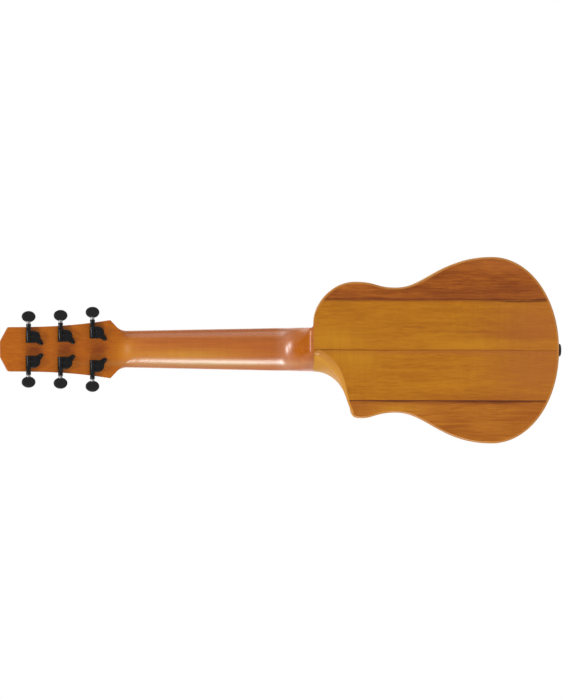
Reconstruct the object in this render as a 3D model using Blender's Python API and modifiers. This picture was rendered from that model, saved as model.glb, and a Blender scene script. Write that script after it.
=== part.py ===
"""A guitalele, a small nylon-strung guitar with a scooped cutaway, hung upright by its head.

Z runs up the neck from the nut, X toward the treble side and Y from the soundboard toward the back.
"""

import math

import bmesh
import bpy
import numpy as np
from mathutils import Matrix, Vector

# Scale and general clearances, in metres
SCALE_LENGTH = 0.432
JOINT_FRET = 14
FRET_COUNT = 18
GAP = 0.0003
SHARP_ANGLE = math.radians(32)

# Body outline: places are measured down from the neck joint, sweeps are curve handles
BODY_LENGTH = 0.3055
BODY_DEPTH_NECK = 0.062
BODY_DEPTH_TAIL = 0.070
SHOULDER_HALF = 0.0353
SHOULDER_SWEEP = 0.0213
UPPER_HALF = 0.0853
UPPER_DROP = 0.0514
UPPER_SWEEP_UP = 0.0303
UPPER_SWEEP_DOWN = 0.0268
WAIST_HALF = 0.0781
WAIST_DROP = 0.1018
WAIST_SWEEP_UP = 0.0249
WAIST_SWEEP_DOWN = 0.0387
LOWER_HALF = 0.1163
LOWER_DROP = 0.2216
LOWER_SWEEP_UP = 0.0636
LOWER_SWEEP_DOWN = 0.0460
TAIL_SWEEP = 0.0673
OUTLINE_STEPS = 8
LONG_STEPS = 12
SHORT_STEPS = 6

# Scooped cutaway
HORN_X = 0.0769
HORN_DROP = 0.0470
HORN_ANGLE = math.radians(12)
HORN_SWEEP_IN = 0.0455
HORN_SWEEP_OUT = 0.0047
CUT_SWEEP = 0.0115
HORN_SIDE_DROP = 0.0600
HORN_SIDE_SWEEP_UP = 0.0126
HORN_SIDE_SWEEP_DOWN = 0.0130
HORN_WAIST_SWEEP = 0.0218
SCOOP_START = 0.004
SCOOP_SWEEP = 0.0400
SCOOP_ANGLE = math.radians(27)
SCOOP_HORN_SWEEP = 0.0300
SCOOP_HORN_ANGLE = math.radians(25)
SCOOP_POWER = 1.8
SCOOP_ROWS = 7

# Plates, ribs and what stiffens them
TOP_THICKNESS = 0.0023
BACK_THICKNESS = 0.0026
BACK_ROUND = 0.0022
RIB_THICKNESS = 0.0020
WING_SEAM = 0.0624
SOUND_HOLE_RADIUS = 0.037
SOUND_HOLE_DROP = 0.0945
ROSETTE_INNER = 0.0405
ROSETTE_OUTER = 0.0490
ROSETTE_DEPTH = 0.0010
HOLE_POINTS = 32
LINING_WIDTH = 0.0050
LINING_HEIGHT = 0.0060
SCOOP_CLEARANCE = 0.0006
NECK_BLOCK_HALF = 0.030
NECK_BLOCK_LENGTH = 0.0285
TAIL_BLOCK_HALF = 0.028
TAIL_BLOCK_LENGTH = 0.014
BRACE_WIDTH = 0.0060
TOP_BRACE_HEIGHT = 0.0085
UPPER_BRACE_DROP = 0.0500
LOWER_BRACE_DROP = 0.1390
FAN_BRACE_HEIGHT = 0.0045
FAN_BRACE_SPREAD = 0.030
FAN_BRACE_TAIL_RISE = 0.0382
BACK_BRACE_HEIGHT = 0.0110
BACK_BRACE_UPPER_DROP = 0.055
BACK_BRACE_MIDDLE_DROP = 0.130
BACK_BRACE_LOWER_DROP = 0.225
SEAM_STRIP_WIDTH = 0.014
SEAM_STRIP_THICKNESS = 0.0020

# Neck, fretboard and nut
NECK_HALF_NUT = 0.0233
NECK_HALF_JOINT = 0.0280
NECK_DEPTH_NUT = 0.0192
NECK_DEPTH_HEEL = 0.0210
NECK_POWER = 2.3
NECK_POINTS = 18
HEEL_TOP_RISE = 0.0365
HEEL_CAP_RISE = 0.0056
HEEL_POWER = 1.7
HEEL_FLARE = 0.0080
HEEL_EDGE = 0.0030
FRETBOARD_THICKNESS = 0.0050
FRETBOARD_TAIL = 0.0095
FRET_HEIGHT = 0.0010
FRET_WIDTH = 0.0020
FRET_INSET = 0.0004
ROD_WIDTH = 0.0060
ROD_DEPTH = 0.0090
ROD_LENGTH = 0.205
ROD_TOP_DROP = 0.012
NUT_THICKNESS = 0.0050
NUT_HEIGHT = 0.0080
NUT_STRING_HEIGHT = 0.0066

# Head, tilted back from the nut
HEAD_TILT = math.radians(13)
HEAD_THICKNESS = 0.0150
HEAD_LENGTH = 0.1542
HEAD_TIP_HALF = 0.0096
HEAD_CORNER_HALF = 0.0279
HEAD_CORNER_LENGTH = 0.1434
HEAD_SHOULDER_HALF = 0.0368
HEAD_SHOULDER_LENGTH = 0.0164
VENEER_THICKNESS = 0.0015

# Bridge and saddle, heights above the soundboard
SADDLE_SETBACK = 0.0014
SADDLE_LENGTH = 0.072
SADDLE_WIDTH = 0.0025
SADDLE_FLOOR = 0.0045
STRING_HEIGHT = 0.0110
BRIDGE_HALF = 0.066
BRIDGE_BLOCK_HALF = 0.039
BRIDGE_FRONT = 0.0090
BRIDGE_RIDGE_BACK = 0.0040
BRIDGE_RIDGE_HEIGHT = 0.0078
TIE_FRONT = 0.0120
TIE_BACK = 0.0182
TIE_HEIGHT = 0.0082
TIE_HOLE_HEIGHT = 0.0056
TROUGH_HEIGHT = 0.0038
WING_HEIGHT = 0.0032

# Strings, from the lowest to the highest
STRING_RADII = (0.00055, 0.00046, 0.00038, 0.00050, 0.00042, 0.00036)
STRING_NAMES = ("e_low", "a", "d", "g", "b", "e_high")
STRING_SPREAD_NUT = 0.038
STRING_SPREAD_SADDLE = 0.052
COIL_TURNS = 2.25
COIL_PITCH = 0.0016
COIL_STEPS = 12
COIL_HEIGHT = 0.0060

# Tuners: post places along the head and out from its centre line, nearest to the nut first
POST_PLACES = ((0.0318, 0.0212), (0.0723, 0.0171), (0.1126, 0.0156))
POST_RADIUS = 0.0030
POST_LENGTH = 0.0150
POST_HOLE = 0.0008
POST_WAIST_SHARE = 0.93
GEAR_TEETH = 14
GEAR_RADIUS = 0.0055
WORM_RADIUS = 0.0021
TOOTH_REACH = 0.00042
TOOTH_CLEARANCE = 0.00025
TOOTH_HALF = 0.00045
PRESSURE_ANGLE = math.radians(20)
GEAR_WIDTH = 0.0032
WORM_HEIGHT = 0.0041
WORM_TURNS = 2.3
WORM_STEPS = 10
HOUSING_HALF = 0.0076
HOUSING_HEIGHT = 0.0072
HOUSING_WALL = 0.0007
LID_RADIUS = 0.00585
LID_STEP = 0.0008
COLLAR_RADIUS = 0.0031
COLLAR_END = 0.0162
FERRULE_RADIUS = 0.0027
FERRULE_END = 0.0184
BUTTON_LENGTH = 0.0142
BUTTON_WIDTH = 0.0175
BUTTON_THICKNESS = 0.0060
BUTTON_POWER = 2.15
BUTTON_EDGE_SHARE = 0.80
EAR_OUT = 0.0078
EAR_DOWN = 0.0086
EAR_RADIUS = 0.0027
EAR_ROOT_RADIUS = 0.0050
EAR_THICKNESS = 0.0022
SLEEVE_WALL = 0.0010
SLEEVE_NUT_RADIUS = 0.0060
SLEEVE_NUT_THICKNESS = 0.0020
ROUND_SIDES = 12
CHAMBER_SIDES = 16
SHAFT_SIDES = 10
HOLE_SIDES = 8
HEX_SIDES = 6
BUTTON_POINTS = 16

# Strap button
STRAP_RADIUS = 0.0081
STRAP_LENGTH = 0.0048
STRAP_NECK_RADIUS = 0.0055
WASHER_THICKNESS = 0.0006
SCREW_RADIUS = 0.0016
SCREW_HEAD_RADIUS = 0.0030
SCREW_LENGTH = 0.014
STRAP_SIDES = 20

COLOURS = {
    "back_inner": ((0.46, 0.17, 0.020), 0.38, 0.0),
    "back_wing": ((0.36, 0.12, 0.020), 0.38, 0.0),
    "ribs": ((0.40, 0.13, 0.020), 0.38, 0.0),
    "spruce": ((0.72, 0.47, 0.22), 0.45, 0.0),
    "neck": ((0.44, 0.16, 0.035), 0.35, 0.0),
    "dark_wood": ((0.055, 0.026, 0.014), 0.45, 0.0),
    "bare_wood": ((0.60, 0.38, 0.18), 0.70, 0.0),
    "bone": ((0.82, 0.77, 0.62), 0.40, 0.0),
    "black_metal": ((0.012, 0.012, 0.012), 0.28, 0.6),
    "black_plastic": ((0.018, 0.018, 0.018), 0.30, 0.0),
    "steel": ((0.60, 0.60, 0.58), 0.25, 1.0),
    "nylon": ((0.80, 0.78, 0.72), 0.25, 0.0),
    "wound": ((0.55, 0.50, 0.42), 0.35, 0.8),
    "felt": ((0.030, 0.030, 0.030), 0.95, 0.0),
}

for old in list(bpy.data.objects):
    bpy.data.objects.remove(old, do_unlink=True)
PARTS = bpy.data.collections.new("guitalele")
CUTTERS = bpy.data.collections.new("cutters")
for collection in (PARTS, CUTTERS):
    bpy.context.scene.collection.children.link(collection)


def fret_z(number):
    """Height of a fret: each one shortens the string by the twelfth root of two."""
    return -SCALE_LENGTH * (1 - 2 ** (-number / 12))


JOINT_Z = fret_z(JOINT_FRET)
TAIL_Z = JOINT_Z - BODY_LENGTH
SADDLE_Z = -SCALE_LENGTH - SADDLE_SETBACK
FRETBOARD_END = fret_z(FRET_COUNT) - FRETBOARD_TAIL
HEAD_START = NUT_THICKNESS + GAP
AXIS_OFFSET = GEAR_RADIUS + WORM_RADIUS
WORM_PITCH = 2 * math.pi * GEAR_RADIUS / GEAR_TEETH
WORM_TIP = WORM_RADIUS + TOOTH_REACH
WORM_ROOT = WORM_RADIUS - TOOTH_REACH - TOOTH_CLEARANCE
GEAR_TIP = GEAR_RADIUS + TOOTH_REACH
GEAR_ROOT = GEAR_RADIUS - TOOTH_REACH - TOOTH_CLEARANCE
SLEEVE_BORE = POST_RADIUS + GAP
SLEEVE_RADIUS = SLEEVE_BORE + SLEEVE_WALL
HEAD_HOLE = SLEEVE_RADIUS + GAP
HOUSING_BASE = HEAD_THICKNESS + GAP
INNER_TOP = TOP_THICKNESS + GAP


def back_y(z):
    """Depth of the back's outer face, which rises toward the neck."""
    return BODY_DEPTH_NECK + (BODY_DEPTH_TAIL - BODY_DEPTH_NECK) * (JOINT_Z - z) / BODY_LENGTH


def inner_floor(z):
    """Depth just inside the back plate."""
    return back_y(z) - BACK_THICKNESS - GAP


def neck_half(z):
    """Half width of the neck and fretboard at a height."""
    return NECK_HALF_NUT + (NECK_HALF_JOINT - NECK_HALF_NUT) * z / JOINT_Z


# Outlines, as arrays of (x, z)
def bezier(start, first, second, end, steps=OUTLINE_STEPS):
    """Points along a cubic curve, without the first."""
    t = np.linspace(0, 1, steps + 1)[1:, None]
    start, first, second, end = (np.array(point) for point in (start, first, second, end))
    return (1 - t) ** 3 * start + 3 * (1 - t) ** 2 * t * first + 3 * (1 - t) * t**2 * second + t**3 * end


def below(point, sweep):
    """A curve's handle: the point moved down by the sweep."""
    return (point[0], point[1] - sweep)


def lower_bouts():
    """From the waist round the lower bout to the tail's centre, on the positive side."""
    waist = (WAIST_HALF, JOINT_Z - WAIST_DROP)
    lower = (LOWER_HALF, JOINT_Z - LOWER_DROP)
    return np.vstack([
        bezier(waist, below(waist, WAIST_SWEEP_DOWN), below(lower, -LOWER_SWEEP_UP), lower),
        bezier(lower, below(lower, LOWER_SWEEP_DOWN), (TAIL_SWEEP, TAIL_Z), (0, TAIL_Z), LONG_STEPS),
    ])


def plain_path():
    """The bass side's outline, as drawn on the positive side, from the joint's centre to the tail's."""
    shoulder = (SHOULDER_HALF, JOINT_Z)
    upper = (UPPER_HALF, JOINT_Z - UPPER_DROP)
    waist = (WAIST_HALF, JOINT_Z - WAIST_DROP)
    return np.vstack([
        [(0, JOINT_Z), shoulder],
        bezier(shoulder, (SHOULDER_HALF + SHOULDER_SWEEP, JOINT_Z), below(upper, -UPPER_SWEEP_UP), upper),
        bezier(upper, below(upper, UPPER_SWEEP_DOWN), below(waist, -WAIST_SWEEP_UP), waist),
        lower_bouts(),
    ])


def cutaway_path(at_back):
    """The treble side's outline with its cutaway, at the soundboard or at the back."""
    if at_back:
        corner = (SCOOP_START, JOINT_Z)
        across, down = SCOOP_SWEEP * math.sin(SCOOP_ANGLE), SCOOP_SWEEP * math.cos(SCOOP_ANGLE)
        leaving = (corner[0] + across, JOINT_Z - down)
        reach, slope = SCOOP_HORN_SWEEP, SCOOP_HORN_ANGLE
    else:
        corner = (NECK_HALF_JOINT, JOINT_Z)
        leaving = below(corner, CUT_SWEEP)
        reach, slope = HORN_SWEEP_IN, HORN_ANGLE
    horn = (HORN_X, JOINT_Z - HORN_DROP)
    arriving = (horn[0] - reach * math.cos(slope), horn[1] + reach * math.sin(slope))
    past = below((horn[0] + HORN_SWEEP_OUT * math.cos(HORN_ANGLE), horn[1]), HORN_SWEEP_OUT * math.sin(HORN_ANGLE))
    side = (UPPER_HALF, JOINT_Z - HORN_SIDE_DROP)
    waist = (WAIST_HALF, JOINT_Z - WAIST_DROP)
    return np.vstack([
        [(0, JOINT_Z), corner],
        bezier(corner, leaving, arriving, horn, LONG_STEPS),
        bezier(horn, past, below(side, -HORN_SIDE_SWEEP_UP), side, SHORT_STEPS),
        bezier(side, below(side, HORN_SIDE_SWEEP_DOWN), below(waist, -HORN_WAIST_SWEEP), waist, SHORT_STEPS),
        lower_bouts(),
    ])


def mirrored(path):
    return path * (-1, 1)


def inward(path):
    """Mitred unit steps to the inside of a path that runs clockwise, one for each point."""
    run = np.diff(path, axis=0)
    run /= np.linalg.norm(run, axis=1)[:, None]
    normal = np.column_stack([run[:, 1], -run[:, 0]])
    before = np.vstack([normal[:1], normal])
    after = np.vstack([normal, normal[-1:]])
    return (before + after) / (1 + (before * after).sum(axis=1))[:, None]


def inset(path, distance):
    """The path moved inward, without the points that would fold over where it bends tightly."""
    moved = path + distance * inward(path)
    starts, runs = path[:-1], np.diff(path, axis=0)
    share = ((moved[:, None] - starts) * runs).sum(axis=2) / (runs**2).sum(axis=1)
    nearest = starts + np.clip(share, 0, 1)[:, :, None] * runs
    distances = np.linalg.norm(moved[:, None] - nearest, axis=2).min(axis=1)
    return moved[distances > 0.98 * distance]


def split_at(path, axis, limit):
    """The path before and after one of its coordinates first passes a limit, both with the crossing."""
    beyond = (path[:, axis] > limit) != (path[0, axis] > limit)
    index = int(np.argmax(beyond))
    share = (limit - path[index - 1, axis]) / (path[index, axis] - path[index - 1, axis])
    crossing = path[index - 1] + share * (path[index] - path[index - 1])
    return np.vstack([path[:index], crossing]), np.vstack([crossing, path[index:]])


def outline(treble):
    """The whole outline, clockwise from the joint's centre, with the plain bass side."""
    return np.vstack([treble, mirrored(plain_path())[-2:0:-1]])


# Mesh helpers
def at_depth(path, depth):
    """Points in space for a path, at one depth or at a depth that follows the height."""
    return [Vector((x, depth(z) if callable(depth) else depth, z)) for x, z in path]


def loft(rings, looped=False):
    """A closed body through rings of as many points each: capped, or joined end to start."""
    mesh = bmesh.new()
    rows = [[mesh.verts.new(point) for point in ring] for ring in rings]
    following = rows[1:] + rows[:1] if looped else rows[1:]
    for lower, upper in zip(rows, following):
        for index in range(len(lower)):
            after = (index + 1) % len(lower)
            mesh.faces.new((lower[index], lower[after], upper[after], upper[index]))
    if not looped:
        mesh.faces.new(rows[0])
        mesh.faces.new(rows[-1])
    bmesh.ops.recalc_face_normals(mesh, faces=mesh.faces)
    return mesh


def plate(path, front, back):
    return loft([at_depth(path, front), at_depth(path, back)])


def box(low, high):
    mesh = bmesh.new()
    low, high = Vector(low), Vector(high)
    bmesh.ops.create_cube(mesh, size=1.0)
    bmesh.ops.scale(mesh, vec=high - low, verts=mesh.verts)
    bmesh.ops.translate(mesh, vec=(low + high) / 2, verts=mesh.verts)
    return mesh


def cylinder(radius, start, end, sides=ROUND_SIDES):
    mesh = bmesh.new()
    start, end = Vector(start), Vector(end)
    bmesh.ops.create_cone(
        mesh, cap_ends=True, segments=sides, radius1=radius, radius2=radius, depth=(end - start).length
    )
    turn = (end - start).to_track_quat("Z", "Y").to_matrix().to_4x4()
    bmesh.ops.transform(mesh, matrix=Matrix.Translation((start + end) / 2) @ turn, verts=mesh.verts)
    return mesh


def turned(profile, axis, sides=ROUND_SIDES):
    """A lathe shape from (radius, distance along the axis) pairs that start and end on the axis."""
    mesh = bmesh.new()
    verts = [mesh.verts.new((radius, 0, along)) for radius, along in profile]
    edges = [mesh.edges.new(pair) for pair in zip(verts, verts[1:])]
    options = {"axis": (0, 0, 1), "cent": (0, 0, 0), "steps": sides, "angle": 2 * math.pi, "use_merge": True}
    bmesh.ops.spin(mesh, geom=verts + edges, **options)
    bmesh.ops.remove_doubles(mesh, verts=mesh.verts, dist=1e-6)
    bmesh.ops.recalc_face_normals(mesh, faces=mesh.faces)
    turn = Vector(axis).to_track_quat("Z", "Y").to_matrix().to_4x4()
    bmesh.ops.transform(mesh, matrix=turn, verts=mesh.verts)
    return mesh


def helper(name, mesh):
    """A cutter or a pattern: kept for editing, never rendered."""
    data = bpy.data.meshes.new(name)
    mesh.to_mesh(data)
    mesh.free()
    item = bpy.data.objects.new(name, data)
    item.hide_render = True
    item.display_type = "WIRE"
    CUTTERS.objects.link(item)
    return item


def shaped(name, mesh, joined=(), removed=(), wall=None):
    """The mesh after an optional wall thickness, unions and cuts, all in one frame."""
    base = helper(f"{name}_blank", mesh)
    if wall:
        solidify = base.modifiers.new("wall", "SOLIDIFY")
        solidify.thickness = wall
        solidify.offset = -1
        solidify.use_even_offset = True
    for operation, tools in (("UNION", joined), ("DIFFERENCE", removed)):
        for number, tool in enumerate(tools):
            cut = base.modifiers.new(f"{operation.lower()}_{number}", "BOOLEAN")
            cut.operation = operation
            cut.solver = "EXACT"
            cut.object = helper(f"{name}_{operation.lower()}_{number}", tool)
    bpy.context.view_layer.update()
    return bpy.data.meshes.new_from_object(base.evaluated_get(bpy.context.evaluated_depsgraph_get()))


def finish(name):
    if name in bpy.data.materials:
        return bpy.data.materials[name]
    colour, roughness, metallic = COLOURS[name]
    material = bpy.data.materials.new(name)
    material.use_nodes = True
    shader = material.node_tree.nodes["Principled BSDF"]
    shader.inputs["Base Color"].default_value = (*colour, 1.0)
    shader.inputs["Roughness"].default_value = roughness
    shader.inputs["Metallic"].default_value = metallic
    return material


def piece(name, mesh, look, parent=None, place=(0, 0, 0)):
    """A named part from a bmesh or from a shaped mesh."""
    if isinstance(mesh, bmesh.types.BMesh):
        data = bpy.data.meshes.new(name)
        mesh.to_mesh(data)
        mesh.free()
    else:
        data = mesh
    data.shade_smooth()
    data.set_sharp_from_angle(angle=SHARP_ANGLE)
    data.materials.clear()
    data.materials.append(finish(look))
    item = bpy.data.objects.new(name, data)
    item.parent = parent
    item.location = place
    PARTS.objects.link(item)
    return item


# Body
def strap_bore(radius):
    """The screw's path through the tail, ribs and block."""
    middle = (TOP_THICKNESS + back_y(TAIL_Z)) / 2
    return cylinder(radius, (0, middle, TAIL_Z - STRAP_LENGTH), (0, middle, TAIL_Z + SCREW_LENGTH + GAP))


def build_soundboard():
    hole_z = JOINT_Z - SOUND_HOLE_DROP
    depth = 2 * TOP_THICKNESS
    hole = cylinder(SOUND_HOLE_RADIUS, (0, -depth, hole_z), (0, depth, hole_z), HOLE_POINTS)
    channel = ring(ROSETTE_INNER - GAP, ROSETTE_OUTER + GAP, -ROSETTE_DEPTH, ROSETTE_DEPTH + GAP, hole_z)
    board = plate(outline(cutaway_path(False)), 0, TOP_THICKNESS)
    piece("soundboard", shaped("soundboard", board, removed=[hole, channel]), "spruce")
    piece("rosette", ring(ROSETTE_INNER, ROSETTE_OUTER, 0, ROSETTE_DEPTH, hole_z), "dark_wood")


def ring(inner, outer, front, back, height):
    """A flat ring round the sound hole's axis."""
    corners = ((outer, front), (outer, back), (inner, back), (inner, front))
    angles = [2 * math.pi * step / HOLE_POINTS for step in range(HOLE_POINTS)]
    rings = [
        [Vector((radius * math.cos(a), depth, height + radius * math.sin(a))) for a in angles]
        for radius, depth in corners
    ]
    return loft(rings, looped=True)


def scoop_share(level):
    """How far the cutaway's wall has moved toward the back outline, at a share of the depth."""
    return level**SCOOP_POWER


def at_level(front_path, back_path, level):
    """The wall's points between the plates: at the soundboard at level 0, at the back at level 1."""
    path = front_path + (back_path - front_path) * scoop_share(level)
    return at_depth(path, lambda z: INNER_TOP + (inner_floor(z) - INNER_TOP) * level)


def rib_surface(front_path, back_path, rows):
    """The open outer face of a rib, between the soundboard and the back."""
    mesh = bmesh.new()
    grid = [
        [mesh.verts.new(point) for point in at_level(front_path, back_path, level)]
        for level in np.linspace(0, 1, rows)
    ]
    for upper, lower in zip(grid, grid[1:]):
        for index in range(len(upper) - 1):
            mesh.faces.new((upper[index], lower[index], lower[index + 1], upper[index + 1]))
    return mesh


def build_ribs():
    """Both ribs start half a gap from the centre line, where they meet at the heel and at the tail."""
    clear = np.array([GAP / 2, 0])
    plain = plain_path()
    plain[[0, -1]] += clear
    front, back = cutaway_path(False), cutaway_path(True)
    for path in (front, back):
        path[[0, -1]] += clear
    treble = rib_surface(front, back, SCOOP_ROWS)
    bass = rib_surface(mirrored(plain), mirrored(plain), 2)
    bmesh.ops.reverse_faces(treble, faces=treble.faces)
    for name, surface in (("side_treble", treble), ("side_bass", bass)):
        bore = strap_bore(SCREW_RADIUS + GAP)
        piece(name, shaped(name, surface, removed=[bore], wall=RIB_THICKNESS), "ribs")


def build_back():
    """One plate with a rounded outer edge, cut into four boards at the centre seam and the wing seams."""
    whole = outline(cutaway_path(True))
    step = inward(np.vstack([whole[-1:], whole, whole[:1]]))[1:-1]
    rings = [at_depth(whole, lambda z: back_y(z) - BACK_THICKNESS)]
    for turn in np.linspace(0, math.pi / 2, 4):
        drawn_in = whole + step * BACK_ROUND * (1 - math.cos(turn))
        rings.append(at_depth(drawn_in, lambda z: back_y(z) - BACK_ROUND * (1 - math.sin(turn))))
    seams = (-WING_SEAM, 0, WING_SEAM)
    names = ("back_wing_bass", "back_board_bass", "back_board_treble", "back_wing_treble")
    for number, name in enumerate(names):
        board = loft(rings)
        if number > 0:
            trim(board, seams[number - 1] + GAP / 2, -1)
        if number < len(seams):
            trim(board, seams[number] - GAP / 2, 1)
        piece(name, board, "back_wing" if "wing" in name else "back_inner")


def trim(mesh, x, side):
    """Takes away what lies past a plane across X, and closes the cut."""
    geometry = mesh.verts[:] + mesh.edges[:] + mesh.faces[:]
    bmesh.ops.bisect_plane(mesh, geom=geometry, plane_co=(x, 0, 0), plane_no=(side, 0, 0), clear_outer=True)
    rim = [edge for edge in mesh.edges if edge.is_boundary]
    bmesh.ops.contextual_create(mesh, geom=rim)
    bmesh.ops.recalc_face_normals(mesh, faces=mesh.faces)


def build_blocks():
    """The neck block follows the scoop, and the tail block follows the tail's curve."""
    distance = RIB_THICKNESS + GAP
    outlines = (cutaway_path(False), cutaway_path(True))
    front, back = (path + (distance + SCOOP_CLEARANCE) * inward(path) for path in outlines)
    floor = JOINT_Z - NECK_BLOCK_LENGTH
    count = int(min(np.argmax(front[:, 1] < floor), np.argmax(back[:, 1] < floor)))
    corners = [(-NECK_BLOCK_HALF, floor), (-NECK_BLOCK_HALF, front[0, 1])]
    front, back = (
        np.vstack([corners, path[1:count], [(path[count - 1, 0], floor)]]) for path in (front, back)
    )
    block = loft([at_level(front, back, level) for level in np.linspace(0, 1, SCOOP_ROWS)])
    piece("neck_block", block, "bare_wood")
    curve = split_at(inset(plain_path(), distance)[::-1], 0, TAIL_BLOCK_HALF)[0]
    inner = TAIL_Z + distance + TAIL_BLOCK_LENGTH
    corners = [(TAIL_BLOCK_HALF, inner), (-TAIL_BLOCK_HALF, inner)]
    path = np.vstack([mirrored(curve)[::-1], curve[1:], corners])
    block = plate(path, INNER_TOP, inner_floor)
    bore = strap_bore(SCREW_RADIUS + GAP)
    piece("tail_block", shaped("tail_block", block, removed=[bore]), "bare_wood")


def lining_path(path, distance):
    """A rib's outline moved in, from below the neck block to beside the tail block."""
    below = split_at(inset(path, distance), 1, JOINT_Z - NECK_BLOCK_LENGTH - GAP)[1]
    return split_at(below[::-1], 0, TAIL_BLOCK_HALF + GAP)[1][::-1]


def build_linings():
    """A glued strip in each corner between a rib and a plate."""
    near = RIB_THICKNESS + GAP + SCOOP_CLEARANCE
    depths = {
        "top": (INNER_TOP, INNER_TOP + LINING_HEIGHT),
        "back": (lambda z: inner_floor(z) - LINING_HEIGHT, inner_floor),
    }
    for plate_name, (front, back) in depths.items():
        for side_name, path in (("treble", cutaway_path(plate_name == "back")), ("bass", plain_path())):
            outer, inner = lining_path(path, near), lining_path(path, near + LINING_WIDTH)
            strip = np.vstack([outer, inner[::-1]])
            if side_name == "bass":
                strip = mirrored(strip)
            piece(f"lining_{plate_name}_{side_name}", plate(strip, front, back), "bare_wood")


def brace_reach(path, low, high):
    """How far out a cross brace goes before it meets the lining, over its own width."""
    inner = lining_path(path, RIB_THICKNESS + SCOOP_CLEARANCE + 2 * GAP + LINING_WIDTH)
    return min(split_at(inner, 1, height)[1][0, 0] for height in (high, low)) - GAP


def rectangle(left, right, low, high):
    return np.array([(right, high), (right, low), (left, low), (left, high)])


def build_braces():
    half = BRACE_WIDTH / 2
    for name, drop in (("upper", UPPER_BRACE_DROP), ("lower", LOWER_BRACE_DROP)):
        low, high = JOINT_Z - drop - half, JOINT_Z - drop + half
        reach = brace_reach(cutaway_path(False), low, high)
        bass = brace_reach(plain_path(), low, high)
        brace = box((-bass, INNER_TOP, low), (reach, INNER_TOP + TOP_BRACE_HEIGHT, high))
        piece(f"top_brace_{name}", brace, "bare_wood")
    fan_top = JOINT_Z - LOWER_BRACE_DROP - half - GAP
    for name, x in (("bass", -FAN_BRACE_SPREAD), ("middle", 0), ("treble", FAN_BRACE_SPREAD)):
        low = (x - half, INNER_TOP, TAIL_Z + FAN_BRACE_TAIL_RISE)
        brace = box(low, (x + half, INNER_TOP + FAN_BRACE_HEIGHT, fan_top))
        piece(f"fan_brace_{name}", brace, "bare_wood")
    strip_half = SEAM_STRIP_WIDTH / 2
    strip_top = JOINT_Z - NECK_BLOCK_LENGTH - GAP
    strip_low = TAIL_Z + RIB_THICKNESS + TAIL_BLOCK_LENGTH + 2 * GAP
    ends = rectangle(-strip_half, strip_half, strip_low, strip_top)
    strip = plate(ends, lambda z: inner_floor(z) - SEAM_STRIP_THICKNESS, inner_floor)
    piece("back_centre_strip", strip, "bare_wood")
    drops = (BACK_BRACE_UPPER_DROP, BACK_BRACE_MIDDLE_DROP, BACK_BRACE_LOWER_DROP)
    for number, drop in enumerate(drops, 1):
        low, high = JOINT_Z - drop - half, JOINT_Z - drop + half
        reach = brace_reach(cutaway_path(True), low, high)
        bass = brace_reach(plain_path(), low, high)
        ends = rectangle(-bass, reach, low, high)
        brace = plate(ends, lambda z: inner_floor(z) - BACK_BRACE_HEIGHT, inner_floor)
        notch = box(
            (-strip_half - GAP, inner_floor(high) - SEAM_STRIP_THICKNESS - GAP, low - half),
            (strip_half + GAP, inner_floor(low) + BACK_THICKNESS, high + half),
        )
        name = f"back_brace_{number}"
        piece(name, shaped(name, brace, removed=[notch]), "bare_wood")


# Neck
def neck_ring(z, half, front, depth):
    """A rounded neck section, flat in front."""
    angles = np.linspace(0, math.pi, NECK_POINTS)
    power = 2 / NECK_POWER
    across = -half * np.sign(np.cos(angles)) * np.abs(np.cos(angles)) ** power
    return np.column_stack([across, front + depth * np.abs(np.sin(angles)) ** power, np.full(NECK_POINTS, z)])


def heel_ring(z):
    """The heel's foot: a straight bass side, a flat cap, and the scoop's curve on the treble side."""
    half, depth, edge = neck_half(z), back_y(JOINT_Z), HEEL_EDGE
    bass = [(-half, level * (depth - edge)) for level in (0, 0.3, 0.6, 0.85, 1)]
    round_over = [(-half + edge * (1 - math.cos(a)), depth - edge * (1 - math.sin(a))) for a in (0.6, 1.1)]
    cap = [(-half + edge + share * (SCOOP_START + half - edge), depth) for share in (0, 0.5)]
    levels = np.linspace(1, 0, NECK_POINTS - len(bass) - len(round_over) - len(cap))
    scoop = [(half + (SCOOP_START - half) * scoop_share(level), level * depth) for level in levels]
    return np.array([(x, y, z) for x, y in bass + round_over + cap + scoop])


def neck_rings():
    """From inside the head down to the joint: a rounded neck that grows into the heel."""
    tilt = math.tan(HEAD_TILT)
    buried = 2 * HEAD_START
    rings = [
        neck_ring(buried, neck_half(0) - GAP, (buried - HEAD_START) * tilt + GAP, HEAD_THICKNESS - GAP),
        neck_ring(HEAD_START, neck_half(0), 0, HEAD_THICKNESS + (NECK_DEPTH_NUT - HEAD_THICKNESS) / 2),
    ]
    heel_top = JOINT_Z + HEEL_TOP_RISE
    for share in (0, 0.1, 0.55, 0.93):
        z = heel_top * share
        depth = NECK_DEPTH_NUT + (NECK_DEPTH_HEEL - NECK_DEPTH_NUT) * share
        rings.append(neck_ring(z, neck_half(z), 0, depth))
    ramp = HEEL_TOP_RISE - HEEL_CAP_RISE
    for share in (0, 0.22, 0.42, 0.6, 0.76, 0.9, 1):
        z = heel_top - ramp * share
        plain = neck_ring(z, neck_half(z), 0, NECK_DEPTH_HEEL)
        rings.append(plain + (heel_ring(z) - plain) * share**HEEL_POWER)
    for share in (0.55, 0.82, 1):
        z = JOINT_Z + GAP + (HEEL_CAP_RISE - GAP) * (1 - share)
        foot = heel_ring(z)
        bass = foot[:, 0] < 0
        depth_share = foot[bass, 1] / foot[:, 1].max()
        foot[bass, 0] += HEEL_FLARE * share**6 * foot[bass, 0] / neck_half(z) * depth_share
        rings.append(foot)
    return [[Vector(point) for point in ring_points] for ring_points in rings]


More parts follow.
